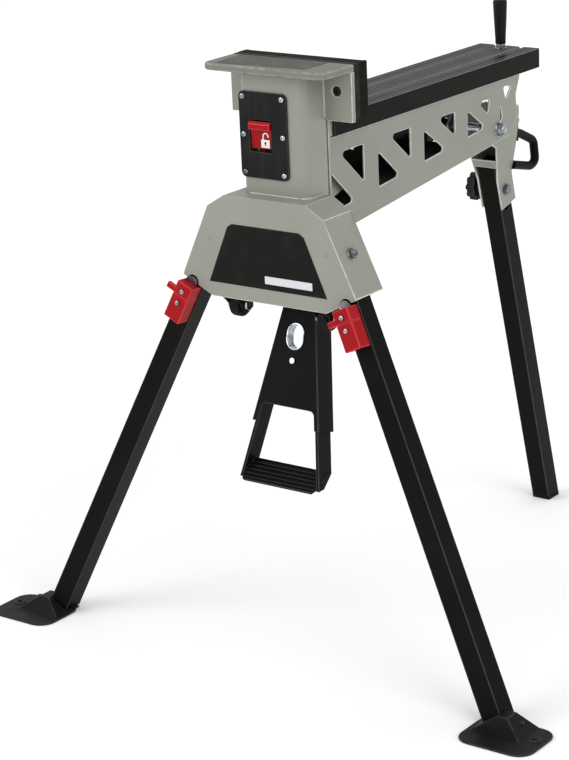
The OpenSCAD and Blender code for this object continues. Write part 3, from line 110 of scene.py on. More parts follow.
class Bend(Enum):
    """Which edges a rounding takes."""

    ANY = "any"
    OUTER = "outer"


def srgb(red: int, green: int, blue: int) -> Colour:
    """Turns a colour in 0 to 255 steps into a linear one.

    Args:
        red: Red, from 0 to 255.
        green: Green, from 0 to 255.
        blue: Blue, from 0 to 255.

    Returns:
        The linear colour with full alpha.
    """
    steps = [value / 255 for value in (red, green, blue)]
    linear = [v / 12.92 if v <= 0.04045 else ((v + 0.055) / 1.055) ** 2.4 for v in steps]
    return (linear[0], linear[1], linear[2], 1.0)


class Signal:
    """An output socket of a material's graph, with arithmetic that adds Math nodes."""

    def __init__(self, graph: "Graph", socket: bpy.types.NodeSocket) -> None:
        """Wraps a socket of a graph."""
        self.graph = graph
        self.socket = socket

    def __add__(self, other: "Value") -> "Signal":
        """Sum."""
        return self.graph.math("ADD", self, other)

    def __radd__(self, other: "Value") -> "Signal":
        """Sum, with the signal on the right."""
        return self.graph.math("ADD", other, self)

    def __sub__(self, other: "Value") -> "Signal":
        """Difference."""
        return self.graph.math("SUBTRACT", self, other)

    def __rsub__(self, other: "Value") -> "Signal":
        """Difference, with the signal on the right."""
        return self.graph.math("SUBTRACT", other, self)

    def __mul__(self, other: "Value") -> "Signal":
        """Product."""
        return self.graph.math("MULTIPLY", self, other)

    def __rmul__(self, other: "Value") -> "Signal":
        """Product, with the signal on the right."""
        return self.graph.math("MULTIPLY", other, self)

    def step(self, low: float, high: float) -> "Signal":
        """Smooth step from 0 at low to 1 at high.

        Args:
            low: Value at which the step starts.
            high: Value at which the step ends; below low, the step falls.

        Returns:
            The stepped signal.
        """
        rising = low < high
        node = self.graph.add(
            "ShaderNodeMapRange",
            {"interpolation_type": "SMOOTHSTEP", "clamp": True},
            {"Value": self, "From Min": min(low, high), "From Max": max(low, high),
             "To Min": 0.0 if rising else 1.0, "To Max": 1.0 if rising else 0.0},
        )
        return Signal(self.graph, node.outputs["Result"])


Value = Union[Signal, float]


class Graph:
    """Node graph of one material, fed by Object coordinates."""

    def __init__(self, name: str) -> None:
        """Starts an empty material.

        Args:
            name: Name of the material.
        """
        self.material = bpy.data.materials.new(name)
        self.material.use_nodes = True
        self.tree = self.material.node_tree
        self.tree.nodes.clear()
        self.place = Signal(self, self.add("ShaderNodeTexCoord").outputs["Object"])

    def add(
        self, kind: str, settings: Optional[dict] = None, inputs: Optional[dict] = None,
    ) -> bpy.types.Node:
        """Adds a node, sets it up and feeds its sockets.

        Args:
            kind: Blender's type of the node.
            settings: Properties set first, such as a Math node's operation.
            inputs: Values or signals, by socket name or index.

        Returns:
            The new node.
        """
        node = self.tree.nodes.new(kind)
        for key, value in (settings or {}).items():
            setattr(node, key, value)
        for key, value in (inputs or {}).items():
            if isinstance(value, Signal):
                self.tree.links.new(value.socket, node.inputs[key])
            else:
                node.inputs[key].default_value = value
        return node

    def math(self, operation: str, left: Value, right: Value) -> Signal:
        """Adds a Math node of two inputs.

        Args:
            operation: Math operation.
            left: First input.
            right: Second input.

        Returns:
            The result.
        """
        node = self.add("ShaderNodeMath", {"operation": operation}, {0: left, 1: right})
        return Signal(self, node.outputs[0])

    def axis(self, name: str) -> Signal:
        """The X, Y or Z of the surface point, in metres."""
        node = self.add("ShaderNodeSeparateXYZ", None, {0: self.place})
        return Signal(self, node.outputs[name])

    def inside(self, name: str, low: float, high: float, soft: float = 0.0002) -> Signal:
        """Mask that is 1 where an axis lies between two places.

        Args:
            name: X, Y or Z.
            low: Lower place in metres.
            high: Upper place in metres.
            soft: Width of the soft edge in metres.

        Returns:
            The mask.
        """
        along = self.axis(name)
        return along.step(low - soft, low + soft) * along.step(high + soft, high - soft)

    def noise(self, grain: float, detail: float = 3.0, stretch: Point = (1.0, 1.0, 1.0)) -> Signal:
        """Noise of about 0.5 on average.

        Args:
            grain: Size of one blotch in metres.
            detail: Octaves.
            stretch: Density of the pattern along each axis.

        Returns:
            The noise.
        """
        moved = self.add("ShaderNodeMapping", None, {"Vector": self.place, "Scale": tuple(stretch)})
        node = self.add(
            "ShaderNodeTexNoise", {"noise_dimensions": "3D"},
            {"Vector": Signal(self, moved.outputs[0]), "Scale": 1.0 / grain, "Detail": detail,
             "Roughness": NOISE_ROUGHNESS},
        )
        return Signal(self, node.outputs[0])

    def cells(self, grain: float) -> Signal:
        """Distance to the nearest grit of a rough coat, with grits about grain metres apart."""
        node = self.add("ShaderNodeTexVoronoi", None, {"Vector": self.place, "Scale": 1.0 / grain})
        return Signal(self, node.outputs["Distance"])

    def edges(self) -> Signal:
        """1 on the faces that round an edge, and 0 elsewhere."""
        node = self.add("ShaderNodeAttribute", {"attribute_name": EDGE_LAYER, "attribute_type": "GEOMETRY"})
        return Signal(self, node.outputs["Fac"])

    def blend(self, share: Value, first: Union[Signal, Colour], second: Union[Signal, Colour]) -> Signal:
        """Blends two colours.

        Args:
            share: How much of the second colour shows.
            first: Colour where share is 0.
            second: Colour where share is 1.

        Returns:
            The blended colour.
        """
        node = self.add("ShaderNodeMix", {"data_type": "RGBA"}, {0: share, 6: first, 7: second})
        return Signal(self, node.outputs[2])

    def relief(self, height: Value, depth: float) -> Signal:
        """Surface normal bumped by a height between 0 and 1.

        Args:
            height: The height signal.
            depth: Height of the bumps in metres.

        Returns:
            The normal.
        """
        node = self.add("ShaderNodeBump", None, {"Strength": 1.0, "Distance": depth, "Height": height})
        return Signal(self, node.outputs[0])

    def surface(self, **sockets: Union[Signal, float, Colour]) -> bpy.types.Material:
        """Closes the graph with a Principled shader.

        Args:
            **sockets: Values by socket name, with underscores for spaces.

        Returns:
            The finished material.
        """
        named = {key.replace("_", " "): value for key, value in sockets.items()}
        shader = self.add("ShaderNodeBsdfPrincipled", None, named)
        output = self.add("ShaderNodeOutputMaterial")
        self.tree.links.new(shader.outputs[0], output.inputs[0])
        return self.material


@dataclass(frozen=True)
class Blotch:
    """Cloudy mask: noise stepped between two values and thinned to a share."""

    grain: float
    detail: float
    low: float
    high: float
    share: float = 1.0
    stretch: Tuple[float, float, float] = (1.0, 1.0, 1.0)

    def mask(self, graph: Graph) -> Signal:
        """The mask in a material's graph."""
        noise = graph.noise(self.grain, self.detail, self.stretch)
        return noise.step(self.low, self.high) * self.share


@dataclass(frozen=True)
class Finish:
    """A finish that takes one of the record's slots."""

    name: str
    slot: Slot
    colour: Colour
    roughness: float
    sheen: float = 0.5
    gloss_grain: float = 0.01
    gloss_detail: float = 3.0
    gloss_swing: float = 0.1

    def build(self) -> bpy.types.Material:
        """Makes the finish's material."""
        raise NotImplementedError

    def gloss(self, graph: Graph) -> Signal:
        """Roughness that wanders about the finish's own."""
        wander = graph.noise(self.gloss_grain, self.gloss_detail)
        return wander * self.gloss_swing + (self.roughness - self.gloss_swing / 2)


@dataclass(frozen=True)
class PowderCoat(Finish):
    """Baked powder paint with orange peel, cloudy gloss, edges lighter from wear and painted highlight, and
    painted shade inside the beam where asked.
    """

    gloss_grain: float = 0.03
    gloss_detail: float = 4.0
    gloss_swing: float = 0.12
    cloud: Colour = (0.3, 0.3, 0.3, 1.0)
    clouds: Blotch = Blotch(0.09, FEW_OCTAVES, 0.35, 0.7)
    # Colour of rounded edges and folds: partly paint rubbed lighter, partly a painted highlight.
    edge: Colour = (0.5, 0.5, 0.5, 1.0)
    edge_share: float = 0.5
    edge_wear_and_highlight_patches: Blotch = Blotch(0.012, 3.0, 0.32, 0.6)
    patchy: float = 1.0
    peel: float = 0.0022
    peel_depth: float = 0.00002
    coat: float = 0.0
    coat_roughness: float = 0.25
    # The next four fields paint shade inside the beam: a half-width in X, a Y below which and a Z above which
    # the paint turns to a near-black painted shade colour.
    inner_shade_half_w: float = 0.0
    inner_shade_y: float = 1.0
    inner_shade_z: float = 0.0
    inner_shade: Colour = (0.01, 0.01, 0.01, 1.0)

    def build(self) -> bpy.types.Material:
        """Makes the paint's material.

        Returns:
            The material.
        """
        graph = Graph(self.name)
        body = graph.blend(self.clouds.mask(graph), self.colour, self.cloud)
        # Painted shade: the paint turns near-black inside the beam, between its side plates.
        if self.inner_shade_half_w:
            depth = graph.inside("X", -self.inner_shade_half_w, self.inner_shade_half_w)
            depth = depth * graph.inside("Y", -1.0, self.inner_shade_y) * graph.inside("Z", self.inner_shade_z, 1.0)
            body = graph.blend(depth, body, self.inner_shade)
        # Rounded edges turn lighter in patches: wear and painted highlight together.
        worn = self.edge_wear_and_highlight_patches.mask(graph) * self.patchy + (1.0 - self.patchy)
        body = graph.blend(graph.edges() * worn * self.edge_share, body, self.edge)
        height = graph.noise(self.peel, FEW_OCTAVES)
        return graph.surface(
            Base_Color=body, Roughness=self.gloss(graph), Normal=graph.relief(height, self.peel_depth),
            Coat_Weight=self.coat, Coat_Roughness=self.coat_roughness, Specular_IOR_Level=self.sheen,
        )


@dataclass(frozen=True)
class MouldedPlastic(Finish):
    """Moulded plastic with a fine spark-eroded texture and painted highlights on its rounded edges."""

    gloss_grain: float = 0.008
    worn: Colour = (0.1, 0.1, 0.1, 1.0)
    flow: Blotch = Blotch(0.02, FEW_OCTAVES, 0.4, 0.75, stretch=(1.0, 1.0, 0.3))
    # Colour of painted highlights on the rounded edges.
    edge: Colour = (0.12, 0.12, 0.12, 1.0)
    edge_share: float = 0.5
    texture: float = 0.0009
    texture_depth: float = 0.00002

    def build(self) -> bpy.types.Material:
        """Makes the plastic's material.

        Returns:
            The material.
        """
        graph = Graph(self.name)
        body = graph.blend(self.flow.mask(graph), self.colour, self.worn)
        # Painted highlight: rounded edges blend towards the edge colour.
        body = graph.blend(graph.edges() * self.edge_share, body, self.edge)
        height = graph.noise(self.texture, FEW_OCTAVES)
        return graph.surface(
            Base_Color=body, Roughness=self.gloss(graph), Normal=graph.relief(height, self.texture_depth),
            Specular_IOR_Level=self.sheen,
        )


@dataclass(frozen=True)
class Rubber(Finish):
    """Dull rubber or pad facing with fine grain and dusty high spots."""

    gloss_detail: float = 2.0
    dust: Colour = (0.08, 0.08, 0.08, 1.0)
    dusty: Blotch = Blotch(0.018, 4.0, 0.45, 0.8)
    edge_share: float = 0.5
    grain: float = 0.0014
    grain_depth: float = 0.00006

    def build(self) -> bpy.types.Material:
        """Makes the rubber's material.

        Returns:
            The material.
        """
        graph = Graph(self.name)
        body = graph.blend(self.dusty.mask(graph), self.colour, self.dust)
        body = graph.blend(graph.edges() * self.edge_share, body, self.dust)
        height = graph.noise(self.grain)
        return graph.surface(
            Base_Color=body, Roughness=self.gloss(graph), Normal=graph.relief(height, self.grain_depth),
            Specular_IOR_Level=self.sheen,
        )


@dataclass(frozen=True)
class Metal(Finish):
    """Bare or plated steel with drawn lines along one axis."""

    dull: Colour = (0.4, 0.4, 0.4, 1.0)
    lines: Tuple[float, float, float] = (1.0, 0.08, 1.0)
    line_grain: float = 0.0007
    line_depth: float = 0.000012
    line_swing: float = 0.12
    stain_grain: float = 0.014
    stain_detail: float = 4.0
    stain_step: Tuple[float, float] = (0.35, 0.75)
    stain_swing: float = 0.14
    metallic: float = 1.0

    def build(self) -> bpy.types.Material:
        """Makes the metal's material.

        Returns:
            The material.
        """
        graph = Graph(self.name)
        stain = graph.noise(self.stain_grain, self.stain_detail)
        body = graph.blend(stain.step(*self.stain_step), self.colour, self.dull)
        drawn = graph.noise(self.line_grain, FEW_OCTAVES, self.lines)
        middle = self.roughness - (self.line_swing + self.stain_swing) / 2
        gloss = drawn * self.line_swing + stain * self.stain_swing + middle
        return graph.surface(
            Base_Color=body, Metallic=self.metallic, Roughness=gloss,
            Normal=graph.relief(drawn, self.line_depth),
        )


@dataclass(frozen=True)
class GritPatch(Finish):
    """Coarse painted patch that stops work from slipping."""

    light: Colour = (0.4, 0.4, 0.4, 1.0)
    sparkle: Blotch = Blotch(0.0016, FEW_OCTAVES, 0.55, 0.75, 0.4)
    faded: Blotch = Blotch(0.02, 3.0, 0.4, 0.7, 0.4)
    grit: float = 0.0011
    grit_depth: float = 0.00018

    def build(self) -> bpy.types.Material:
        """Makes the patch's material.

        Returns:
            The material.
        """
        graph = Graph(self.name)
        body = graph.blend(self.sparkle.mask(graph), self.colour, self.light)
        body = graph.blend(self.faded.mask(graph), body, self.light)
        height = 1.0 - graph.cells(self.grit)
        return graph.surface(
            Base_Color=body, Roughness=self.roughness, Normal=graph.relief(height, self.grit_depth),
            Specular_IOR_Level=self.sheen,
        )


@dataclass(frozen=True)
class PrintedFilm(Finish):
    """Dark label film with one plain light strip printed on it."""

    gloss_grain: float = 0.012
    gloss_swing: float = 0.14
    haze: Colour = srgb(48, 46, 43)
    hazy: Blotch = Blotch(0.03, 3.0, 0.4, 0.8, 0.25)
    strip: Colour = (0.8, 0.8, 0.8, 1.0)
    strip_x: Tuple[float, float] = (-0.0034, 0.078)
    strip_z: Tuple[float, float] = (0.5604, 0.5715)
    ink: Colour = srgb(188, 188, 192)
    inked: Blotch = Blotch(0.006, 3.0, 0.35, 0.8, 0.3)
    ripple: float = 0.004
    ripple_depth: float = 0.00003

    def build(self) -> bpy.types.Material:
        """Makes the film's material.

        Returns:
            The material.
        """
        graph = Graph(self.name)
        body = graph.blend(self.hazy.mask(graph), self.colour, self.haze)
        printed = graph.inside("X", *self.strip_x) * graph.inside("Z", *self.strip_z)
        ink = graph.blend(self.inked.mask(graph), self.strip, self.ink)
        body = graph.blend(printed, body, ink)
        height = graph.noise(self.ripple, FEW_OCTAVES)
        return graph.surface(
            Base_Color=body, Roughness=self.gloss(graph), Normal=graph.relief(height, self.ripple_depth),
            Specular_IOR_Level=self.sheen,
        )


# The lighter edge colours below are partly wear and partly painted highlights on rounded edges and folds.
GREY_PAINT = PowderCoat(
    "grey powder paint", Slot.GREY_PAINT, srgb(138, 140, 131), 0.42, 0.4,
    cloud=srgb(134, 136, 126), edge=srgb(212, 214, 207), edge_share=0.75, patchy=0.6,
)
# Darker than the grey paint so that the top plate's top reads darker, as the light falls on it: painted
# shade.
PLATE_PAINT_SHADED = PowderCoat(
    "plate paint darkened as painted shade", Slot.GREY_PAINT, srgb(118, 120, 112), 0.55, 0.2,
    cloud=srgb(112, 114, 106), edge=srgb(168, 170, 162), edge_share=0.45,
)
# The beam and bracket paints turn near-black inside the beam: painted shade.
BEAM_PAINT_SHADED_INSIDE = PowderCoat(
    "beam paint with painted inner shade", Slot.GREY_PAINT, srgb(132, 134, 125), 0.42, 0.4,
    cloud=srgb(128, 130, 120), edge=srgb(216, 218, 212), edge_share=0.9, patchy=0.5,
    inner_shade_half_w=0.0493, inner_shade=srgb(26, 26, 24),
)
BRACKET_PAINT_SHADED_INSIDE = PowderCoat(
    "bracket paint with painted inner shade", Slot.GREY_PAINT, srgb(134, 136, 127), 0.42, 0.4,
    cloud=srgb(130, 132, 122), edge=srgb(212, 214, 207), edge_share=0.75, patchy=0.6,
    inner_shade_half_w=0.0493, inner_shade_y=0.232, inner_shade_z=0.668, inner_shade=srgb(26, 26, 24),
)
# Its lighter paint and lighter blotches are painted glints on the weld's ripples; the glossy coat adds real
# ones.
WELD_PAINT_WITH_PAINTED_GLINTS = PowderCoat(
    "paint over weld with painted glints", Slot.GREY_PAINT, srgb(146, 148, 139), 0.24, 0.6,
    cloud=srgb(176, 178, 170), edge_share=0.0, peel=0.004, peel_depth=0.0003, coat=0.7,
)
BLACK_PAINT = PowderCoat(
    "black powder paint", Slot.BLACK_PAINT, srgb(12, 11, 9), 0.4, 0.05,
    cloud=srgb(16, 15, 13), edge=srgb(88, 88, 85), edge_share=0.45, patchy=0.25, peel=0.0018,
)
FOOT_PAINT = PowderCoat(
    "black foot paint", Slot.BLACK_PAINT, srgb(20, 20, 18), 0.4, 0.08,
    cloud=srgb(28, 28, 26), edge=srgb(70, 70, 67), edge_share=0.45, patchy=0.6, peel=0.0018,
)
# Its light edge colour paints thin highlight lines on the rail's rounded edges and sloping faces, with a
# little wear.
RAIL_PAINT_WITH_PAINTED_HIGHLIGHTS = PowderCoat(
    "black rail paint with painted highlight lines", Slot.BLACK_PAINT, srgb(12, 11, 8), 0.38, 0.06,
    cloud=srgb(16, 15, 12), edge=srgb(126, 126, 123), edge_share=0.75, patchy=0.15, peel=0.0015,
)
BLACK_PLASTIC = MouldedPlastic(
    "black moulded plastic", Slot.BLACK_PLASTIC, srgb(19, 19, 20), 0.46, 0.12, worn=srgb(30, 30, 31),
    edge=srgb(70, 70, 71),
)
BLACK_RUBBER = Rubber(
    "black pad rubber", Slot.BLACK_RUBBER, srgb(14, 13, 11), 0.68, 0.08, dust=srgb(28, 27, 25),
)
BLACK_BACKING = Rubber(
    "black pad backing", Slot.BLACK_BACKING, srgb(20, 19, 16), 0.55, 0.12, dust=srgb(48, 47, 44),
)
BLACK_STEEL = Metal(
    "blackened steel", Slot.BLACK_STEEL, srgb(44, 42, 40), 0.42, dull=srgb(26, 25, 23), metallic=0.7,
)
RED_PLASTIC = MouldedPlastic(
    "red moulded plastic", Slot.RED_PLASTIC, srgb(146, 6, 14), 0.4, 0.12, worn=srgb(158, 14, 22),
    edge=srgb(222, 74, 80), texture=0.0012,
)
LABEL_FILM = PrintedFilm(
    "label film", Slot.LABEL_FILM, srgb(15, 14, 12), 0.42, 0.1, strip=srgb(204, 204, 208),
)
NYLON = MouldedPlastic(
    "nylon runner", Slot.NYLON, srgb(222, 222, 208), 0.5, worn=srgb(200, 200, 186), edge=srgb(236, 236, 226),
)
BRIGHT_STEEL = Metal("plated steel", Slot.BRIGHT_STEEL, srgb(190, 196, 202), 0.22, dull=srgb(72, 74, 78))
DULL_STEEL = Metal("dull plated steel", Slot.BRIGHT_STEEL, srgb(128, 132, 136), 0.38, dull=srgb(74, 76, 78))
PLAIN_STEEL = Metal(
    "plain steel", Slot.PLAIN_STEEL, srgb(150, 151, 150), 0.4, dull=srgb(92, 91, 89), lines=(0.08, 1.0, 1.0),
)
GRIP_PATCH = GritPatch("grit patch", Slot.GREY_PAINT, srgb(88, 89, 83), 0.8, 0.15, light=srgb(118, 119, 112))
SYMBOL_INK = MouldedPlastic(
    "symbol ink", Slot.RED_PLASTIC, srgb(226, 222, 222), 0.4, 0.2, worn=srgb(216, 206, 206),
    edge=srgb(226, 222, 222),
)
KEYHOLE_INK = MouldedPlastic(
    "keyhole ink", Slot.RED_PLASTIC, srgb(74, 30, 32), 0.4, 0.2, worn=srgb(60, 22, 24), edge=srgb(74, 30, 32),
)


@dataclass(frozen=True)
class Rounding:
    """How one family of edges is rounded: lengths are in millimetres and turns in degrees."""

    width: float
    segments: int = 2
    turn: float = SMOOTH_TURN
    under: float = 180.0
    longer: float = 0.0
    bend: Bend = Bend.ANY
    along: Optional[Tuple[float, float, float]] = None

    def takes(self, edge: bmesh.types.BMEdge) -> bool:
        """Says whether an edge belongs to this family.

        Args:
            edge: Edge of the copied mesh.

        Returns:
            True if the edge is to be rounded.
        """
        if not edge.is_manifold or edge.calc_length() < self.longer * MM:
            return False
        if not math.radians(self.turn) <= edge.calc_face_angle(0.0) <= math.radians(self.under):
            return False
        if self.bend is Bend.OUTER and not edge.is_convex:
            return False
        if self.along is not None:
            run = (edge.verts[1].co - edge.verts[0].co).normalized()
            return abs(run.dot(Vector(self.along).normalized())) > ALIGNED
        return True


@dataclass(frozen=True)
class Ring:
    """One ring of a turned piece: its place along the axis and its radius, in millimetres."""

    at: float
    radius: float
    form: Form = Form.ROUND


def reach(form: Form, angle: float) -> float:
    """Share of the ring's radius that its outline has at an angle.

    Args:
        form: Outline of the ring.
        angle: Angle round the axis in radians.

    Returns:
        The share, at most 1.
    """
    if form is Form.HEX:
        sector = math.pi / 3
        return math.cos(sector / 2) / math.cos((angle % sector) - sector / 2)
    if form is Form.CROSS:
        quarter = math.pi / 2
        off = abs(((angle + quarter / 2) % quarter) - quarter / 2)
        return min(1.0, CROSS_ARM / max(math.sin(off), 1e-6))
    if form is Form.FLUTED:
        return 1.0 - FLUTE_DEPTH * (0.5 + 0.5 * math.cos(FLUTES * angle)) ** 3
    return 1.0


class Workshop:
    """Makes meshes into pieces that ride on the CAD bodies."""

    def __init__(self) -> None:
        """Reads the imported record's bodies."""
        groups = frame["record"]["behaviour"]["bodies"]
        self.body_of = {node: body for body, nodes in groups.items() for node in nodes}
        self.materials: Dict[str, bpy.types.Material] = {}

    def material(self, finish: Finish) -> bpy.types.Material:
        """Gives a finish's material, which is made once.

        Args:
            finish: The finish.

        Returns:
            The material.
        """
        if finish.name not in self.materials:
            self.materials[finish.name] = finish.build()
        return self.materials[finish.name]

    def dress(self, node: str, finish: Finish) -> None:
        """Gives a CAD node its finish.

        Args:
            node: Name of the CAD node.
            finish: Finish for all its material slots.
        """
        part = frame["nodes"][node]
        if not part.material_slots:
            part.data.materials.append(None)
        for place in part.material_slots:
            place.material = self.material(finish)
        LOG.info("CAD node %s has %s", node, finish.name)

    def piece(
        self, name: str, mesh: bmesh.types.BMesh, body: str, finish: Finish,
        stands_for: Sequence[str] = (), smooth: float = SMOOTH_TURN,
    ) -> bpy.types.Object:
        """Turns a finished bmesh into a piece on a body.

        Args:
            name: Name of the piece.
            mesh: Its shape in metres, in the shared frame; it is freed.
            body: CAD body that it rides on.
            finish: Its finish.
            stands_for: CAD nodes that it replaces.
            smooth: Edges that turn less than this many degrees are shaded smooth.

        Returns:
            The new object.
        """
        data = bpy.data.meshes.new(name)
        mesh.to_mesh(data)
        mesh.free()
        data.materials.append(self.material(finish))
        data.shade_smooth()
        data.set_sharp_from_angle(angle=math.radians(smooth))
        made = bpy.data.objects.new(name, data)
        bpy.context.scene.collection.objects.link(made)
        weighted = made.modifiers.new("even shading", "WEIGHTED_NORMAL")
        weighted.keep_sharp = True
        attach(made, body)
        if stands_for:
            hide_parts(*stands_for)
        LOG.info("piece %s on %s, %d faces, %s", name, body, len(data.polygons), finish.name)
        return made

    def rounded(self, node: str, finish: Finish, *families: Rounding) -> bpy.types.Object:
        """Replaces a CAD node by a copy whose edges are rounded.

        Args:
            node: Name of the CAD node.
            finish: Finish of the copy.
            *families: Roundings, applied in turn.

        Returns:
            The new piece.
        """
        mesh = self.copy_of(node)
        for family in families or (Rounding(0.5),):
            round_edges(mesh, family)
        return self.piece(f"{node}_finished", mesh, self.body_of[node], finish, [node])

    def copy_of(self, node: str) -> bmesh.types.BMesh:
        """Copies a CAD node's mesh, with its triangles joined into flat faces.

        Args:
            node: Name of the CAD node.

        Returns:
            The copy.
        """
        mesh = bmesh.new()
        mesh.from_mesh(frame["nodes"][node].data)
        bmesh.ops.remove_doubles(mesh, verts=mesh.verts, dist=SAME_SPOT)
        bmesh.ops.dissolve_limit(
            mesh, angle_limit=math.radians(FLAT_TURN), verts=mesh.verts, edges=mesh.edges,
            use_dissolve_boundaries=False, delimit=set(),
        )
        mesh.faces.layers.float.new(EDGE_LAYER)
        return mesh


def round_edges(mesh: bmesh.types.BMesh, family: Rounding) -> None:
    """Bevels a family of edges and marks the faces that it makes.

    Args:
        mesh: Mesh to change.
        family: Which edges, and how wide.
    """
    layer = mesh.faces.layers.float.get(EDGE_LAYER) or mesh.faces.layers.float.new(EDGE_LAYER)
    chosen = [edge for edge in mesh.edges if family.takes(edge)]
    if not chosen:
        return
    made = bmesh.ops.bevel(
        mesh, geom=chosen, offset=family.width * MM, offset_type="OFFSET", affect="EDGES",
        segments=family.segments, profile=0.5, material=-1, clamp_overlap=False, loop_slide=True,
    )
    for face in made["faces"]:
        face[layer] = 1.0


def edges_among(made: Sequence[object], members: Set[bmesh.types.BMVert]) -> List[bmesh.types.BMEdge]:
    """Edges of an extrusion that join its new points.

    Args:
        made: Everything that the extrusion made.
        members: The new points.

    Returns:
        The edges.
    """
    return [item for item in made if isinstance(item, bmesh.types.BMEdge)
            and item.verts[0] in members and item.verts[1] in members]


def turned(mesh: bmesh.types.BMesh, rings: Sequence[Ring], place: Matrix, sides: int = 32) -> None:
    """Adds a solid whose rings are stacked along the place's Z axis.

    Args:
        mesh: Mesh that the solid is added to.
        rings: Rings in order; a last radius of 0 closes that end in a point.
        place: Where the solid's origin and axis lie, in metres.
        sides: Points of each ring.
    """
    fresh = bmesh.new()
    loop = bmesh.ops.create_circle(fresh, cap_ends=True, radius=1.0, segments=sides)["verts"]
    edges = list({edge for vert in loop for edge in vert.link_edges})
    set_ring(loop, rings[0])
    for ring in rings[1:]:
        made = bmesh.ops.extrude_edge_only(fresh, edges=edges)["geom"]
        loop = [item for item in made if isinstance(item, bmesh.types.BMVert)]
        edges = edges_among(made, set(loop))
        set_ring(loop, ring)
    if rings[-1].radius > CLOSED_R:
        bmesh.ops.contextual_create(fresh, geom=edges)
    bmesh.ops.remove_doubles(fresh, verts=fresh.verts, dist=RING_SPOT)
    bmesh.ops.recalc_face_normals(fresh, faces=fresh.faces)
    bmesh.ops.transform(fresh, matrix=place, verts=fresh.verts)
    add_mesh(mesh, fresh)


def set_ring(loop: Sequence[bmesh.types.BMVert], ring: Ring) -> None:
    """Moves a loop's points onto a ring, each at its own angle.

    Args:
        loop: The points.
        ring: The ring.
    """
    radius = max(ring.radius, POINT_R) * MM
    for vert in loop:
        angle = math.atan2(vert.co.y, vert.co.x)
        far = radius * reach(ring.form, angle)
        vert.co = Vector((far * math.cos(angle), far * math.sin(angle), ring.at * MM))


def add_mesh(mesh: bmesh.types.BMesh, extra: bmesh.types.BMesh) -> None:
    """Joins a mesh into another and frees it.

    Args:
        mesh: Mesh that grows.
        extra: Mesh that is joined to it and freed.
    """
    data = bpy.data.meshes.new("joined")
    extra.to_mesh(data)
    extra.free()
    mesh.from_mesh(data)
    bpy.data.meshes.remove(data)


def prism(mesh: bmesh.types.BMesh, outline: Sequence[Point], depth: Point) -> None:
    """Adds a flat outline pushed along a vector.

    Args:
        mesh: Mesh that the prism is added to.
        outline: Corners in millimetres, in order.
        depth: How far the outline is pushed, in millimetres.
    """
    fresh = bmesh.new()
    corners = [fresh.verts.new(Vector(corner) * MM) for corner in outline]
    face = fresh.faces.new(corners)
    pushed = bmesh.ops.extrude_face_region(fresh, geom=[face])["geom"]
    moved = [item for item in pushed if isinstance(item, bmesh.types.BMVert)]
    bmesh.ops.translate(fresh, verts=moved, vec=Vector(depth) * MM)
    bmesh.ops.recalc_face_normals(fresh, faces=fresh.faces)
    add_mesh(mesh, fresh)


def sweep(
    mesh: bmesh.types.BMesh, path: Sequence[Vector], radius: Callable[[int], float], sides: int = 12,
) -> None:
    """Adds a round bar along a path.

    Args:
        mesh: Mesh that the bar is added to.
        path: Points of its centre line in metres.
        radius: Radius in metres at a point's index.
        sides: Points of each ring.
    """
    fresh = bmesh.new()
    heading = (path[1] - path[0]).normalized()
    turn = heading.to_track_quat("Z", "Y").to_matrix()
    loop = bmesh.ops.create_circle(fresh, cap_ends=True, radius=1.0, segments=sides)["verts"]
    flat = [vert.co.copy() for vert in loop]
    edges = list({edge for vert in loop for edge in vert.link_edges})
    for index, spot in enumerate(path):
        ahead = path[min(index + 1, len(path) - 1)] - path[max(index - 1, 0)]
        heading_next = ahead.normalized()
        turn = heading.rotation_difference(heading_next).to_matrix() @ turn
        heading = heading_next
        if index:
            made = bmesh.ops.extrude_edge_only(fresh, edges=edges)["geom"]
            points = [item for item in made if isinstance(item, bmesh.types.BMVert)]
            order = {old: new for old in loop for new in points if (old.co - new.co).length < SWEEP_SPOT}
            loop = [order[old] for old in loop]
            edges = edges_among(made, set(loop))
        for vert, unit in zip(loop, flat):
            vert.co = spot + turn @ (unit * radius(index))
    bmesh.ops.contextual_create(fresh, geom=edges)
    bmesh.ops.recalc_face_normals(fresh, faces=fresh.faces)
    add_mesh(mesh, fresh)


def bent_path(corners: Sequence[Vector], bend: float, steps: int = 6) -> List[Vector]:
    """Path through corners, each rounded to an arc.

    Args:
        corners: Corners in metres.
        bend: Bend radius in metres.
        steps: Points of each arc.

    Returns:
        The path's points.
    """
    path = [corners[0]]
    for before, corner, after in zip(corners, corners[1:], corners[2:]):
        u = (before - corner).normalized()
        v = (after - corner).normalized()
        half = u.angle(v) / 2
        longest = BEND_SHARE * min((before - corner).length, (after - corner).length)
        run = min(bend / math.tan(half), longest)
        radius = run * math.tan(half)
        centre = corner + (u + v).normalized() * radius / math.sin(half)
        start = corner + u * run - centre
        end = corner + v * run - centre
        for step in range(steps + 1):
            path.append(centre + start.slerp(end, step / steps) * radius)
    path.append(corners[-1])
    return path


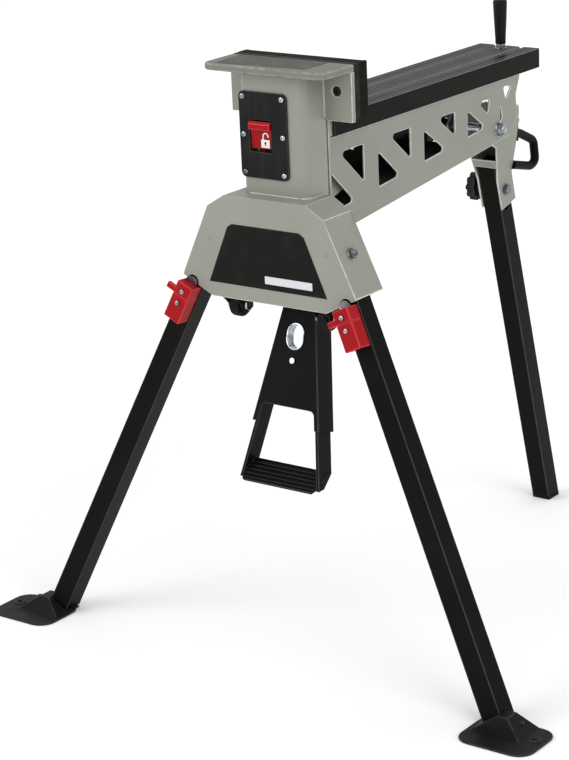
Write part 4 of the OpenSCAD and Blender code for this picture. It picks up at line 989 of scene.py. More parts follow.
def weld(mesh: bmesh.types.BMesh, corners: Sequence[Point], radius: float, pitch: float = 2.6) -> None:
    """Adds a weld bead with its ripples along a line of points.

    Args:
        mesh: Mesh that the bead is added to.
        corners: Points of the seam in millimetres.
        radius: Radius of the bead in millimetres.
        pitch: Length of one ripple in millimetres.
    """
    points = [Vector(corner) * MM for corner in corners]
    path: List[Vector] = []
    for start, end in zip(points, points[1:]):
        count = max(2, round((end - start).length / (pitch * MM / RIPPLE_STEPS)))
        path.extend(start.lerp(end, step / count) for step in range(count))
    path.append(points[-1])
    last = len(path) - 1

    def thick(index: int) -> float:
        """Radius of the bead at a point.

        Args:
            index: Place of the point on the path.

        Returns:
            The radius in metres.
        """
        ripple = RIPPLE_LOW + RIPPLE_RISE * abs(math.sin(math.pi * index / RIPPLE_STEPS))
        taper = min(1.0, TAPER_START + index / TAPER_STEPS, TAPER_START + (last - index) / TAPER_STEPS)
        return radius * MM * ripple * taper

    sweep(mesh, path, thick, 8)


def axis_frame(centre: Point, axis: Point) -> Matrix:
    """Frame whose Z axis points along a direction.

    Args:
        centre: Origin in millimetres.
        axis: Direction of Z.

    Returns:
        The frame's matrix, in metres.
    """
    turn = Vector(axis).normalized().to_track_quat("Z", "Y").to_matrix().to_4x4()
    return Matrix.Translation(Vector(centre) * MM) @ turn


def pan_screw(mesh: bmesh.types.BMesh, centre: Point, axis: Point, radius: float, height: float) -> None:
    """Adds a pan-head screw with a cross recess.

    Args:
        mesh: Mesh that the screw is added to.
        centre: Middle of the head's seat in millimetres.
        axis: Direction that the head faces.
        radius: Radius of the head in millimetres.
        height: Height of the head in millimetres.
    """
    recess = radius * 0.5
    rings = [
        Ring(0, radius * 0.96), Ring(height * 0.3, radius), Ring(height * 0.62, radius * 0.95),
        Ring(height * 0.86, radius * 0.8), Ring(height, radius * 0.58), Ring(height, recess, Form.CROSS),
        Ring(height * 0.35, recess * 0.72, Form.CROSS), Ring(height * 0.3, 0.0),
    ]
    turned(mesh, rings, axis_frame(centre, axis), 32)


def washer(radius: float) -> List[Ring]:
    """Rings of a washer, from its seat outwards.

    Args:
        radius: Its radius in millimetres.

    Returns:
        The rings.
    """
    return [Ring(0, radius), Ring(1.2, radius), Ring(1.5, radius - 0.4)]


def long_edges(width: float, longer: float) -> Rounding:
    """Rounding of a folded part's long outer edges.

    Args:
        width: Width of the rounding in millimetres.
        longer: Length in millimetres that an edge must have.

    Returns:
        The rounding.
    """
    return Rounding(width, 3, turn=FOLD_TURN, longer=longer, bend=Bend.OUTER)


@dataclass
class JawHead:
    """Column, top plate, pad, switch plate and rocker."""

    shop: Workshop
    jaw_y: float = -245.0
    half_w: float = 103.5
    wing_bottom: float = 784.0
    wing_t: float = 8.0
    column_half_w: float = 56.0
    column_front: float = -299.0
    plate_top: float = 864.0
    plate_t: float = 10.0
    pad_base_t: float = 12.0
    pad_face_t: float = 19.0
    pad_bottom: float = 788.0
    pad_top: float = 864.5
    pad_bolt_x: float = 78.0
    pad_bolt_z: float = 826.0
    pad_bolt_seat: float = 3.0
    pad_bolt: Sequence[Ring] = (
        Ring(0, 6.2), Ring(3.4, 6.2), Ring(4.0, 5.6), Ring(4.0, 3.4, Form.HEX), Ring(1.4, 3.3, Form.HEX),
        Ring(1.2, 0),
    )
    pad_shank: Sequence[Ring] = (Ring(0, 4), Ring(12, 4))
    switch_x: float = -13.5
    switch_z: float = 765.0
    screw_dx: float = 33.5
    screw_dz: float = 53.5
    screw_head: Tuple[float, float] = (4.0, 2.2)
    screw_shank: Sequence[Ring] = (Ring(0, 2), Ring(7.5, 2))
    switch_front: float = -302.0
    rocker_x: float = -19.0
    rocker_face_y: float = -300.3
    symbol: Tuple[float, float] = (14.6, 11.5)
    symbol_x: float = 0.2
    symbol_drop: float = 17.0
    symbol_t: float = 0.35
    shackle_r: float = 4.2
    shackle_t: float = 1.1
    shackle_in: float = 0.26
    shackle_rise: float = 5.0
    shackle_end: float = 1.2
    shackle_steps: int = 10
    keyhole_r: float = 1.7
    keyhole_t: float = 0.2
    keyhole_rise: float = 0.58
    keyhole_slot: Sequence[Point] = ((-0.7, -4), (0.7, -4), (0.7, -1), (-0.7, -1))
    patch_t: float = 0.4
    patch: Sequence[Point] = ((-83, -315), (-88, -250), (64, -250), (63, -303))
    ribs: int = 6
    rib_h: float = 2.0
    rib_gap: float = 1.9
    rib_end: float = 6.0
    overlap: float = 0.5
    hair: float = 0.05
    bend_x: float = 14.0
    bend_y: float = 16.0
    side_bead: float = 2.2
    plate_bead: float = 1.6
    fine_bead: float = 1.4
    bead_off: float = 0.6
    bead_sink: float = 0.4

    def build(self) -> None:
        """Builds the head's pieces."""
        self.shop.rounded("column", GREY_PAINT, Rounding(0.5))
        # The top plate's darker paint is painted shade.
        self.shop.rounded("top_plate", PLATE_PAINT_SHADED, Rounding(2.4, 4, bend=Bend.OUTER))
        self.shop.rounded("jaw_wings", GREY_PAINT, Rounding(1.0, 3))
        self.shop.rounded("jaw_pad_base", BLACK_BACKING, Rounding(0.8, 3))
        self.shop.rounded("switch_plate", BLACK_PLASTIC, Rounding(0.8, 3))
        self.shop.rounded("lock_rocker", RED_PLASTIC, Rounding(1.1, 3, bend=Bend.OUTER))
        self.shop.dress("release_rod", PLAIN_STEEL)
        self.pad_face()
        self.pad_bolts()
        self.screws()
        self.grip_patch()
        self.padlock()
        self.seams()

    def pad_face(self) -> None:
        """Builds the gripping layer with grooves across its face."""
        near = self.jaw_y + self.pad_base_t
        far = near + self.pad_face_t
        mesh = bmesh.new()
        self.bar(mesh, self.half_w, (near, far - self.rib_h), (self.pad_bottom, self.pad_top))
        pitch = (self.pad_top - self.pad_bottom) / self.ribs
        rib_y = (far - self.rib_h - self.overlap, far)
        for step in range(self.ribs):
            low = self.pad_bottom + step * pitch
            rib_z = (low + self.rib_gap, low + pitch - self.rib_gap)
            self.bar(mesh, self.half_w - self.rib_end, rib_y, rib_z)
        for side in (-1, 1):
            middle = side * (self.half_w - self.rib_end / 2 - self.hair)
            strip_z = (self.pad_bottom, self.pad_top - self.hair)
            self.bar(mesh, self.rib_end / 2, rib_y, strip_z, middle)
        self.shop.piece("jaw_pad_face_grooved", mesh, "stand", BLACK_RUBBER, ["jaw_pad_face"])

    def bar(self, mesh: bmesh.types.BMesh, half: float, y: Point, z: Point, middle: float = 0.0) -> None:
        """Adds a rounded bar that lies along X.

        Args:
            mesh: Mesh that the bar is added to.
            half: Half its length in millimetres.
            y: Its ends in Y.
            z: Its ends in Z.
            middle: X of its middle.
        """
        fresh = bmesh.new()
        outline = [(middle - half, y[0], z[0]), (middle - half, y[1], z[0]), (middle - half, y[1], z[1]),
                   (middle - half, y[0], z[1])]
        prism(fresh, outline, (2 * half, 0, 0))
        fresh.faces.layers.float.new(EDGE_LAYER)
        round_edges(fresh, Rounding(0.6, 3))
        add_mesh(mesh, fresh)

    def pad_bolts(self) -> None:
        """Builds the recessed socket-head bolts of the pad."""
        mesh = bmesh.new()
        for side in (-1, 1):
            seat = (side * self.pad_bolt_x, self.jaw_y - self.pad_bolt_seat, self.pad_bolt_z)
            turned(mesh, self.pad_bolt, axis_frame(seat, (0, -1, 0)), 48)
            turned(mesh, self.pad_shank, axis_frame(seat, (0, 1, 0)), 24)
        self.shop.piece("jaw_pad_bolts_socketed", mesh, "stand", BLACK_STEEL, ["jaw_pad_bolts"])

    def screws(self) -> None:
        """Builds the switch plate's six screws."""
        mesh = bmesh.new()
        for dx in (-1, 1):
            for row in (-1, 0, 1):
                x = self.switch_x + dx * self.screw_dx
                seat = (x, self.switch_front, self.switch_z + row * self.screw_dz)
                pan_screw(mesh, seat, (0, -1, 0), *self.screw_head)
                turned(mesh, self.screw_shank, axis_frame(seat, (0, 1, 0)), 16)
        self.shop.piece("switch_plate_screws_headed", mesh, "stand", BRIGHT_STEEL, ["switch_plate_screws"])

    def grip_patch(self) -> None:
        """Builds the rough patch on the top plate."""
        mesh = bmesh.new()
        prism(mesh, [(x, y, self.plate_top) for x, y in self.patch], (0, 0, self.patch_t))
        round_edges(mesh, Rounding(0.25, 2))
        self.shop.piece("top_plate_grip_patch", mesh, "stand", GRIP_PATCH)

    def padlock(self) -> None:
        """Builds the open padlock symbol on the rocker's lower face."""
        mesh = bmesh.new()
        x0 = self.rocker_x + self.symbol_x
        z0 = self.switch_z - self.symbol_drop
        face_y = self.rocker_face_y
        wide, tall = self.symbol
        corners = [(0, 0), (wide, 0), (wide, tall), (0, tall)]
        prism(mesh, [(x0 + x, face_y, z0 + z) for x, z in corners], (0, -self.symbol_t, 0))
        bow = self.shackle_r
        foot = x0 + wide * self.shackle_in
        y = face_y - 0.1
        centre = Vector((foot + bow, y, z0 + tall + self.shackle_rise)) * MM
        angles = [math.pi * (1 - step / self.shackle_steps) for step in range(self.shackle_steps + 1)]
        path = [Vector((foot, y, z0 + tall - 1)) * MM]
        path += [centre + Vector((math.cos(a), 0, math.sin(a))) * bow * MM for a in angles]
        path.append(path[-1] - Vector((0, 0, self.shackle_end)) * MM)
        sweep(mesh, path, lambda index: self.shackle_t * MM, 8)
        self.shop.piece("rocker_padlock_symbol", mesh, "lock_rocker", SYMBOL_INK)
        hole = bmesh.new()
        middle = (x0 + wide / 2, face_y - 0.3, z0 + tall * self.keyhole_rise)
        round_part = [Ring(0, self.keyhole_r), Ring(self.keyhole_t, self.keyhole_r)]
        turned(hole, round_part, axis_frame(middle, (0, -1, 0)), 24)
        slot = [(middle[0] + x, middle[1], middle[2] + z) for x, z in self.keyhole_slot]
        prism(hole, slot, (0, -self.keyhole_t, 0))
        self.shop.piece("rocker_padlock_keyhole", hole, "lock_rocker", KEYHOLE_INK)

    def seams(self) -> None:
        """Builds the weld beads between the column, its plate and its wings."""
        mesh = bmesh.new()
        under = self.plate_top - self.plate_t
        below = under - self.bead_sink
        wing = self.jaw_y - self.wing_t
        for side in (-1, 1):
            x = side * (self.column_half_w + self.bead_off)
            y = wing - self.bead_off
            weld(mesh, [(x, y, under - 2), (x, y, self.wing_bottom + 3)], self.side_bead)
            weld(mesh, [(x, self.column_front + self.bend_y, below), (x, wing - 2, below)], self.plate_bead)
            y = wing - self.bead_sink
            weld(mesh, [(side * (self.half_w - 2), y, below), (side * (self.column_half_w + 3), y, below)],
                 self.fine_bead)
        end = self.column_half_w - self.bend_x
        y = self.column_front - self.bead_sink
        weld(mesh, [(-end, y, below), (end, y, below)], self.fine_bead)
        self.shop.piece("jaw_weld_beads", mesh, "stand", WELD_PAINT_WITH_PAINTED_GLINTS)


@dataclass
class Cowl:
    """Folded cowl below the column, with its label and leg pivots."""

    shop: Workshop
    column_half_w: float = 56.0
    column_front: float = -299.0
    front: float = -326.0
    rear: float = -260.0
    top: float = 680.5
    rivet_x: float = 101.5
    rivet_z: float = 615.0
    rivet: Sequence[Ring] = (
        Ring(-3, 2.5), Ring(0, 2.5), Ring(0, 4), Ring(0.7, 3.8), Ring(1.3, 2.9), Ring(1.6, 1.6),
        Ring(1.4, 1.2), Ring(1.0, 0),
    )
    bend: float = 12.0
    side_bead: float = 2.2
    front_bead: float = 1.5
    corner_bead: float = 2.4
    bead_off: float = 0.6

    def build(self) -> None:
        """Builds the cowl's pieces."""
        self.shop.rounded(
            "cowl_shell", GREY_PAINT,
            Rounding(0.7, 2, turn=18, under=60, longer=20, bend=Bend.OUTER, along=(0, 1, 0)),
            long_edges(1.1, 20), Rounding(0.4, 2),
        )
        self.shop.rounded("cowl_rear_plate", GREY_PAINT, Rounding(0.4))
        self.shop.rounded("cowl_label", LABEL_FILM, Rounding(0.25, 2))
        self.shop.rounded("leg_hinge_cheeks", GREY_PAINT, Rounding(0.4))
        self.shop.rounded("leg_pivot_bolts", BRIGHT_STEEL, Rounding(0.6, 2))
        self.rivets()
        self.seams()

    def rivets(self) -> None:
        """Builds the two painted rivets beside the label."""
        mesh = bmesh.new()
        for side in (-1, 1):
            seat = (side * self.rivet_x, self.front, self.rivet_z)
            turned(mesh, self.rivet, axis_frame(seat, (0, -1, 0)), 32)
        self.shop.piece("cowl_rivets_domed", mesh, "stand", GREY_PAINT, ["cowl_rivets"])

    def seams(self) -> None:
        """Builds the weld beads where the column enters the cowl."""
        mesh = bmesh.new()
        z = self.top + 0.5
        x = self.column_half_w + self.bead_off
        y = self.column_front - self.bead_off
        end = self.column_half_w - self.bend
        back = self.column_front + self.bend
        for side in (-1, 1):
            weld(mesh, [(side * x, back, z), (side * x, self.rear + 1, z)], self.side_bead)
        weld(mesh, [(-end, y, z), (end, y, z)], self.front_bead)
        corner = (self.column_half_w - 3, self.column_front + 3, z)
        weld(mesh, [(end, y, z), corner, (x, back, z)], self.corner_bead)
        self.shop.piece("cowl_weld_beads", mesh, "stand", WELD_PAINT_WITH_PAINTED_GLINTS)


@dataclass
class Beam:
    """Lattice beam with its runners, hold block and pedal hanger."""

    shop: Workshop
    half_w: float = 52.0
    plate_rounding: float = 1.0
    pivot: Tuple[float, float] = (208.0, 680.0)
    pedal_pivot: Tuple[float, float] = (-185.0, 690.0)
    spring_x: Tuple[float, float] = (25.5, 35.5)
    coils: int = 5
    coil_steps: int = 20
    coil_r: float = 7.9
    wire_r: float = 0.9
    bolt_r: float = 6.0
    spacer_r: float = 10.0
    spacer_x: float = 31.4
    plate_t: float = 3.0
    washer_r: float = 12.0
    nut: Sequence[Ring] = (
        Ring(0.5, 9.4), Ring(1.0, 10.9, Form.HEX), Ring(5.2, 10.9, Form.HEX), Ring(5.8, 9.3),
    )
    nut_off: float = 1.0
    dome: Tuple[float, float] = (8.4, 6.2)
    dome_base: float = 6.0

    def build(self) -> None:
        """Builds the beam's pieces."""
        self.shop.rounded("beam_end_plate", GREY_PAINT, Rounding(0.6))
        self.side_plates()
        self.shop.rounded("beam_tray", BLACK_PAINT, Rounding(0.5))
        self.shop.rounded("rail_runners", NYLON, Rounding(1.0, 3))
        self.shop.rounded("hold_block", PLAIN_STEEL)
        self.shop.rounded("pedal_hanger", GREY_PAINT, Rounding(0.5))
        self.shop.rounded("pedal_pivot_pin", PLAIN_STEEL)
        self.springs()
        self.pivot_bolt()

    def side_plates(self) -> None:
        """Builds the two lattice side plates, which mirror each other."""
        for side, flip in (("right", 1), ("left", -1)):
            mesh = self.shop.copy_of("beam_side_right")
            round_edges(mesh, Rounding(self.plate_rounding, 3))
            bmesh.ops.scale(mesh, vec=(flip, 1, 1), verts=mesh.verts)
            if flip < 0:
                bmesh.ops.reverse_faces(mesh, faces=mesh.faces)
            node = f"beam_side_{side}"
            # Their paint darkens inside the beam as painted shade.
            self.shop.piece(f"{node}_finished", mesh, "stand", BEAM_PAINT_SHADED_INSIDE, [node])

    def springs(self) -> None:
        """Builds the two torsion springs beside the pedal's hub."""
        mesh = bmesh.new()
        y, z = self.pedal_pivot
        low, high = self.spring_x
        steps = self.coil_steps * self.coils
        for side in (-1, 1):
            path = []
            for step in range(steps + 1):
                angle = 2 * math.pi * step / self.coil_steps
                x = low + (high - low) * step / steps
                across = self.coil_r * math.cos(angle)
                rise = self.coil_r * math.sin(angle)
                path.append(Vector((side * x, y + across, z + rise)) * MM)
            sweep(mesh, path, lambda index: self.wire_r * MM, 8)
        self.shop.piece("pedal_springs_wound", mesh, "stand", PLAIN_STEEL, ["pedal_return_springs"])

    def pivot_bolt(self) -> None:
        """Builds the rear leg's pivot bolt with washers and domed nuts."""
        mesh = bmesh.new()
        y, z = self.pivot
        shank = [Ring(-self.half_w, self.bolt_r), Ring(self.half_w, self.bolt_r)]
        turned(mesh, shank, axis_frame((0, y, z), (1, 0, 0)), 32)
        for side in (-1, 1):
            spacer = [Ring(x, self.spacer_r) for x in (self.spacer_x, self.half_w - self.plate_t)]
            turned(mesh, spacer, axis_frame((0, y, z), (side, 0, 0)), 32)
            seat = axis_frame((side * self.half_w, y, z), (side, 0, 0))
            turned(mesh, washer(self.washer_r), seat, 48)
            seat = axis_frame((side * (self.half_w + self.nut_off), y, z), (side, 0, 0))
            turned(mesh, self.domed_nut(), seat, 48)
        self.shop.piece("rear_pivot_bolt_domed", mesh, "stand", BRIGHT_STEEL, ["rear_pivot_bolt"])

    def domed_nut(self) -> List[Ring]:
        """Works out a hexagon nut with a domed end.

        Returns:
            Its rings, from its seat outwards.
        """
        wide, tall = self.dome
        rings = list(self.nut)
        for degrees in range(0, 90, 15):
            a = math.radians(degrees)
            rings.append(Ring(self.dome_base + tall * math.sin(a), wide * math.cos(a)))
        rings.append(Ring(self.dome_base + tall, 0))
        return rings


@dataclass
class RailSet:
    """Sliding rail, its grip and the clamping works under it."""

    shop: Workshop
    front: float = -227.0
    rear: float = 328.0
    half_w: float = 54.3
    top: float = 785.4
    height: float = 30.0
    roof: float = 780.4
    wall: float = 3.0
    groove_d: float = 3.0
    grip_y: float = 302.0
    grip_bottom: float = 793.0
    grip_l: float = 69.0
    stud_r: float = 5.0
    stud_run: Tuple[float, float] = (-16.0, 40.0)
    washer_r: float = 9.0
    nut: Sequence[Ring] = (Ring(1.5, 6.9), Ring(1.9, 8, Form.HEX), Ring(6.7, 8, Form.HEX), Ring(7.2, 6.9))
    inner_lines: Sequence[float] = (5.5, 13.5)
    outer_lines: Sequence[float] = (32.5, 46.5)
    line: Sequence[Tuple[float, float]] = ((-0.7, 0.0), (-0.45, -0.55), (0.45, -0.55), (0.7, 0.0))
    fillet: float = 1.5

    def build(self) -> None:
        """Builds the rail's pieces."""
        self.rail()
        self.grip()
        self.stud()
        self.shop.dress("draw_bar", PLAIN_STEEL)
        self.shop.dress("pull_rod", PLAIN_STEEL)
        self.shop.dress("drive_plate", PLAIN_STEEL)

    def rail(self) -> None:
        """Builds the rail from its rolled profile, with two grooves and fine lines in its top, whose sloping
        faces carry a painted highlight.
        """
        inside = self.half_w - self.wall
        under = self.roof - self.top
        half = [(0.0, 0.0), *self.fine_lines(self.inner_lines), *self.deep_groove()]
        half += self.fine_lines(self.outer_lines)
        half += [(self.half_w - 1.0, 0.0), (self.half_w - 0.3, -0.3), (self.half_w, -1.0),
                 (self.half_w, -self.height), (inside, -self.height), (inside, under - self.fillet),
                 (inside - self.fillet, under)]
        whole = half + [(-x, z) for x, z in reversed(half) if x > 0.01]
        mesh = bmesh.new()
        prism(mesh, [(x, self.front, self.top + z) for x, z in whole], (0, self.rear - self.front, 0))
        # Painted highlight: the sloping faces of the fine lines and grooves are marked to take the paint's
        # light edge colour.
        layer = mesh.faces.layers.float.new(EDGE_LAYER)
        for face in mesh.faces:
            if len(face.verts) == 4 and 0.2 < abs(face.normal.x) < ALIGNED and face.normal.z > 0:
                face[layer] = 1.0
        round_edges(mesh, Rounding(0.35, 2, turn=FOLD_TURN))
        self.shop.piece("rail_rolled", mesh, "rail", RAIL_PAINT_WITH_PAINTED_HIGHLIGHTS, ["rail"])

    def fine_lines(self, places: Sequence[float]) -> List[Tuple[float, float]]:
        """Corners of the fine lines at some places across the top."""
        return [(place + x, z) for place in places for x, z in self.line]

    def deep_groove(self) -> List[Tuple[float, float]]:
        """Corners of the deep groove between the bands."""
        depth = -self.groove_d
        return [(17.6, 0.0), (18.4, -0.5), (20.0, depth), (25.0, depth), (26.6, -0.5), (27.4, 0.0)]

    def grip(self) -> None:
        """Builds the tapered grip, with a ring at its foot and a rounded end."""
        top = self.grip_l
        rings = [
            Ring(0, 5.1), Ring(0, 7.6), Ring(0.6, 8.2), Ring(4.4, 8.4), Ring(5.0, 8.1), Ring(6.0, 8.2),
            Ring(top * 0.5, 9.7), Ring(top - 8, 10.9), Ring(top - 5, 11.0),
        ]
        rings += [Ring(top - 4 + 4 * math.sin(math.radians(a)), 7 + 4 * math.cos(math.radians(a)))
                  for a in range(15, 91, 15)]
        rings += [Ring(top, 5.2), Ring(top - 0.5, 4.8), Ring(top - 0.5, 0)]
        mesh = bmesh.new()
        turned(mesh, rings, axis_frame((0, self.grip_y, self.grip_bottom), (0, 0, 1)), 48)
        self.shop.piece("grip_handle_turned", mesh, "grip", BLACK_PLASTIC, ["grip_handle"])

    def stud(self) -> None:
        """Builds the grip's stud with its washer and nut."""
        mesh = bmesh.new()
        seat = axis_frame((0, self.grip_y, self.top), (0, 0, 1))
        turned(mesh, [Ring(at, self.stud_r) for at in self.stud_run], seat, 32)
        turned(mesh, washer(self.washer_r), seat, 48)
        turned(mesh, self.nut, seat, 48)
        self.shop.piece("handle_stud_nutted", mesh, "rail", BRIGHT_STEEL, ["handle_stud"])


@dataclass
class Pedal:
    """Pedal: upper arm, nested foot frame, rim and bolt."""

    shop: Workshop

    def build(self) -> None:
        """Builds the pedal's pieces."""
        self.shop.rounded("pedal_arm", BLACK_PAINT, long_edges(1.6, 40), Rounding(0.4, 2))
        self.shop.rounded("pedal_foot", BLACK_PAINT, long_edges(1.2, 30), Rounding(0.4, 2))
        self.shop.rounded("pedal_sleeve", BRIGHT_STEEL, Rounding(0.5, 3))
        self.shop.rounded("pedal_bolt", BRIGHT_STEEL, Rounding(0.6, 3))
        self.shop.dress("pedal_lever", PLAIN_STEEL)


@dataclass
class Rollers:
    """Transport rollers with their forks and bolts."""

    shop: Workshop
    y: float = -290.0
    z: float = 513.5
    inner_x: float = 69.0
    width: float = 16.0
    radius: float = 19.0
    bore: float = 6.05
    shoulder: float = 3.2
    grooves: Sequence[float] = (0.25, 0.5, 0.75)
    groove: Sequence[Tuple[float, float]] = ((-1.0, 0.0), (-0.6, 0.7), (0.6, 0.7), (1.0, 0.0))

    def build(self) -> None:
        """Builds the rollers' pieces."""
        self.shop.rounded("roller_brackets", BLACK_PAINT, Rounding(0.5))
        self.shop.rounded("roller_bolts", BRIGHT_STEEL, Rounding(0.6))
        for name, side in (("left", -1), ("right", 1)):
            mesh = bmesh.new()
            turned(mesh, self.wheel(), axis_frame((side * self.inner_x, self.y, self.z), (side, 0, 0)), 64)
            node = f"transport_roller_{name}"
            self.shop.piece(f"{node}_turned", mesh, node, BLACK_PLASTIC, [node])

    def wheel(self) -> List[Ring]:
        """Works out a roller with recessed ends and three shallow tread grooves.

        Returns:
            Its rings, from its inner end outwards.
        """
        r, w, s = self.radius, self.width, self.shoulder
        end = [Ring(2.5, self.bore), Ring(0.4, self.bore + 0.2), Ring(0.0, self.bore + 0.8),
               Ring(0.0, 10.5), Ring(2.0, 11.5), Ring(2.0, r - 7), Ring(0.2, r - 6), Ring(0.2, r - 4)]
        end += [Ring(s - s * math.cos(math.radians(a)), r - s + s * math.sin(math.radians(a)))
                for a in (30, 60, 90)]
        tread = [Ring(w * share + x, r - deep) for share in self.grooves for x, deep in self.groove]
        return end + tread + [Ring(w - ring.at, ring.radius) for ring in reversed(end)]


@dataclass
class FrontLeg:
    """One front leg with its foot plate and latch."""

    shop: Workshop
    side: int
    pivot: Tuple[float, float, float] = (124.196, -297.0, 612.0)
    splay: float = 25.6
    lean: float = 5.85
    middle: float = -20.0
    latch_front: float = -40.0
    screw_drops: Tuple[float, float] = (80.0, 99.0)
    screw_sink: float = 1.5
    screw_head: Tuple[float, float] = (3.4, 1.1)

    @property
    def name(self) -> str:
        """Side of the leg, as the nodes name it."""
        return "right" if self.side > 0 else "left"

    def leg_frame(self) -> Matrix:
        """Works out the leg's frame: X points outward, -Y is its front and -Z runs down it.

        Returns:
            The frame's matrix, in metres.
        """
        splayed = Matrix.Rotation(math.radians(-self.splay), 4, "Y")
        turn = splayed @ Matrix.Rotation(math.radians(-self.lean), 4, "X")
        place = Matrix.Translation(Vector(self.pivot) * MM) @ turn
        return place if self.side > 0 else Matrix.Diagonal((-1, 1, 1, 1)) @ place

    def build(self) -> None:
        """Builds the leg's pieces."""
        self.shop.rounded(f"front_leg_{self.name}", BLACK_PAINT, long_edges(1.2, 120), Rounding(0.35, 2))
        self.shop.rounded(f"foot_plate_{self.name}", FOOT_PAINT, Rounding(1.2, 3, turn=20, bend=Bend.OUTER))
        self.shop.rounded(f"latch_track_{self.name}", BRIGHT_STEEL, Rounding(0.4))
        moulded = Rounding(1.3, 3, longer=4, bend=Bend.OUTER)
        self.shop.rounded(f"latch_slider_{self.name}", RED_PLASTIC, moulded)
        self.shop.rounded(f"latch_cover_{self.name}", RED_PLASTIC, moulded)
        self.shop.rounded(f"latch_stud_{self.name}", DULL_STEEL, Rounding(0.5, 2))
        self.screws()

    def screws(self) -> None:
        """Builds the two cross-head screws on the latch."""
        mesh = bmesh.new()
        for down in self.screw_drops:
            seat = (self.middle, self.latch_front - self.screw_sink, -down)
            pan_screw(mesh, seat, (0, -1, 0), *self.screw_head)
        bmesh.ops.transform(mesh, matrix=self.leg_frame(), verts=mesh.verts)
        bmesh.ops.recalc_face_normals(mesh, faces=mesh.faces)
        self.shop.piece(f"latch_screws_{self.name}", mesh, f"latch_{self.name}", BRIGHT_STEEL)


@dataclass
class RearLeg:
    """Rear leg with its yoke, loop handle, clamp knob and foot cap."""

    shop: Workshop
    pivot: Tuple[float, float] = (208.0, 680.0)
    loop_x: float = 20.0
    loop_r: float = 7.0
    loop_bend: float = 16.0
    loop_path: Sequence[Point] = ((94, -24.8), (115, -32), (156, -51), (161, -85), (146, -91), (91, -77.7))
    loop_tab: Sequence[Point] = ((96.5, -40.3), (95.7, 4.4))
    loop_tab_t: float = 4.0

    def build(self) -> None:
        """Builds the rear leg's pieces."""
        # The bracket's paint darkens inside the beam as painted shade.
        self.shop.rounded("rear_bracket", BRACKET_PAINT_SHADED_INSIDE, long_edges(1.4, 15), Rounding(0.4, 2))
        self.shop.rounded("rear_leg", BLACK_PAINT, long_edges(1.5, 200), Rounding(0.35, 2))
        self.shop.rounded("rear_foot_cap", BLACK_RUBBER, Rounding(1.0, 3))
        self.loop_handle()
        self.shop.rounded("loop_handle_bolt", BRIGHT_STEEL, Rounding(0.5))
        self.shop.rounded("clamp_bolt", DULL_STEEL, Rounding(0.6))
        self.shop.rounded("clamp_knob", BLACK_PLASTIC, Rounding(1.8, 4, turn=50, bend=Bend.OUTER))

    def loop_handle(self) -> None:
        """Builds the bent bar of the loop handle, with the flat tab that its bolt goes through."""
        y0, z0 = self.pivot
        corners = [Vector((self.loop_x, y0 + y, z0 + z)) * MM for y, z in self.loop_path]
        mesh = bmesh.new()
        sweep(mesh, bent_path(corners, self.loop_bend * MM), lambda index: self.loop_r * MM, 20)
        low, high = self.loop_tab
        tab = [(low[0], low[1]), (low[0] + self.loop_tab_t, low[1]), (high[0] + self.loop_tab_t, high[1]),
               (high[0], high[1])]
        plate = bmesh.new()
        prism(plate, [(self.loop_x - self.loop_r, y0 + y, z0 + z) for y, z in tab], (2 * self.loop_r, 0, 0))
        plate.faces.layers.float.new(EDGE_LAYER)
        round_edges(plate, Rounding(1.0, 3))
        add_mesh(mesh, plate)
        self.shop.piece("loop_handle_bent", mesh, "rear_bracket", BLACK_PAINT, ["loop_handle"])


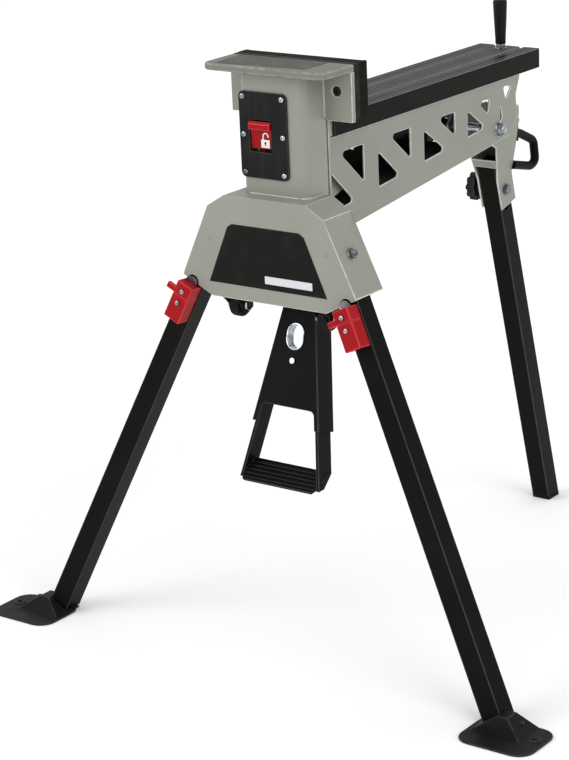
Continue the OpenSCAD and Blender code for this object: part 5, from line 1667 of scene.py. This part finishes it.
@dataclass
class Studio:
    """Camera at the photograph's place, soft lights and a pale floor."""

    lens: float = 117.6
    azimuth: float = 36.99108
    elevation: float = 17.80614
    roll: float = -2.51024
    distance: float = 3.5365545
    target: Tuple[float, float, float] = (-0.0002972, -0.295667, 0.4107969)
    floor_half: float = 6.0
    floor_grain: float = 0.6
    floor_tones: Tuple[Colour, Colour] = (srgb(255, 255, 255), srgb(252, 252, 252))
    floor_roughness: float = 0.9
    ambient: float = 0.8
    backdrop: float = 1.0
    softness: float = 40.0
    sensor_w: float = 36.0
    clip_end: float = 40.0
    lamps: Sequence[Tuple[str, Tuple[float, float, float], float]] = (
        ("key", (-0.55, -0.75, 0.45), 1.1),
        ("side", (0.85, -0.3, 0.5), 1.0),
    )

    def build(self) -> None:
        """Builds the camera, the lights, the world and the floor."""
        self.camera()
        self.world()
        self.floor()
        for lamp in self.lamps:
            self.lamp(*lamp)

    def camera(self) -> None:
        """Places the camera."""
        a, e, r = (math.radians(v) for v in (self.azimuth, self.elevation, self.roll))
        back = Vector((math.sin(a) * math.cos(e), -math.cos(a) * math.cos(e), math.sin(e)))
        right = Vector((math.cos(a), math.sin(a), 0))
        up = back.cross(right)
        across = right * math.cos(r) + up * math.sin(r)
        rise = up * math.cos(r) - right * math.sin(r)
        data = bpy.data.cameras.new("camera")
        data.lens = self.lens
        data.sensor_width = self.sensor_w
        data.clip_end = self.clip_end
        made = bpy.data.objects.new("camera", data)
        place = Matrix((across, rise, back)).transposed().to_4x4()
        place.translation = Vector(self.target) + back * self.distance
        made.matrix_world = place
        bpy.context.scene.collection.objects.link(made)
        bpy.context.scene.camera = made

    def world(self) -> None:
        """Hangs a white backdrop that itself gives only a little even light."""
        world = bpy.data.worlds.new("studio")
        world.use_nodes = True
        tree = world.node_tree
        shade = tree.nodes["Background"]
        shade.inputs["Color"].default_value = (1.0, 1.0, 1.0, 1.0)
        seen = tree.nodes.new("ShaderNodeLightPath")
        level = tree.nodes.new("ShaderNodeMapRange")
        level.inputs["To Min"].default_value = self.ambient
        level.inputs["To Max"].default_value = self.backdrop
        tree.links.new(seen.outputs["Is Camera Ray"], level.inputs["Value"])
        tree.links.new(level.outputs["Result"], shade.inputs["Strength"])
        bpy.context.scene.world = world
        bpy.context.scene.view_settings.view_transform = "Standard"

    def floor(self) -> None:
        """Lays the pale floor."""
        mesh = bmesh.new()
        bmesh.ops.create_grid(mesh, x_segments=4, y_segments=4, size=self.floor_half)
        data = bpy.data.meshes.new("floor")
        mesh.to_mesh(data)
        mesh.free()
        graph = Graph("pale floor")
        tone = graph.blend(graph.noise(self.floor_grain, FEW_OCTAVES), *self.floor_tones)
        data.materials.append(graph.surface(Base_Color=tone, Roughness=self.floor_roughness))
        made = bpy.data.objects.new("floor", data)
        bpy.context.scene.collection.objects.link(made)

    def lamp(self, name: str, source: Tuple[float, float, float], strength: float) -> None:
        """Adds a far soft light, which is equally strong all over the floor.

        Args:
            name: Name of the light.
            source: Direction from the workbench towards the light.
            strength: Light on a face turned to it, in watts per square metre.
        """
        data = bpy.data.lights.new(name, "SUN")
        data.angle = math.radians(self.softness)
        data.energy = strength
        made = bpy.data.objects.new(name, data)
        made.matrix_world = Vector(source).to_track_quat("Z", "Y").to_matrix().to_4x4()
        bpy.context.scene.collection.objects.link(made)


def main() -> None:
    """Builds every sub-assembly."""
    logging.basicConfig(level=logging.INFO, format="%(name)s: %(message)s")
    shop = Workshop()
    assemblies = [
        JawHead(shop), Cowl(shop), Beam(shop), RailSet(shop), Pedal(shop), Rollers(shop),
        FrontLeg(shop, -1), FrontLeg(shop, 1), RearLeg(shop),
    ]
    for assembly in assemblies:
        assembly.build()
    Studio().build()


if __name__ == "__main__":
    main()
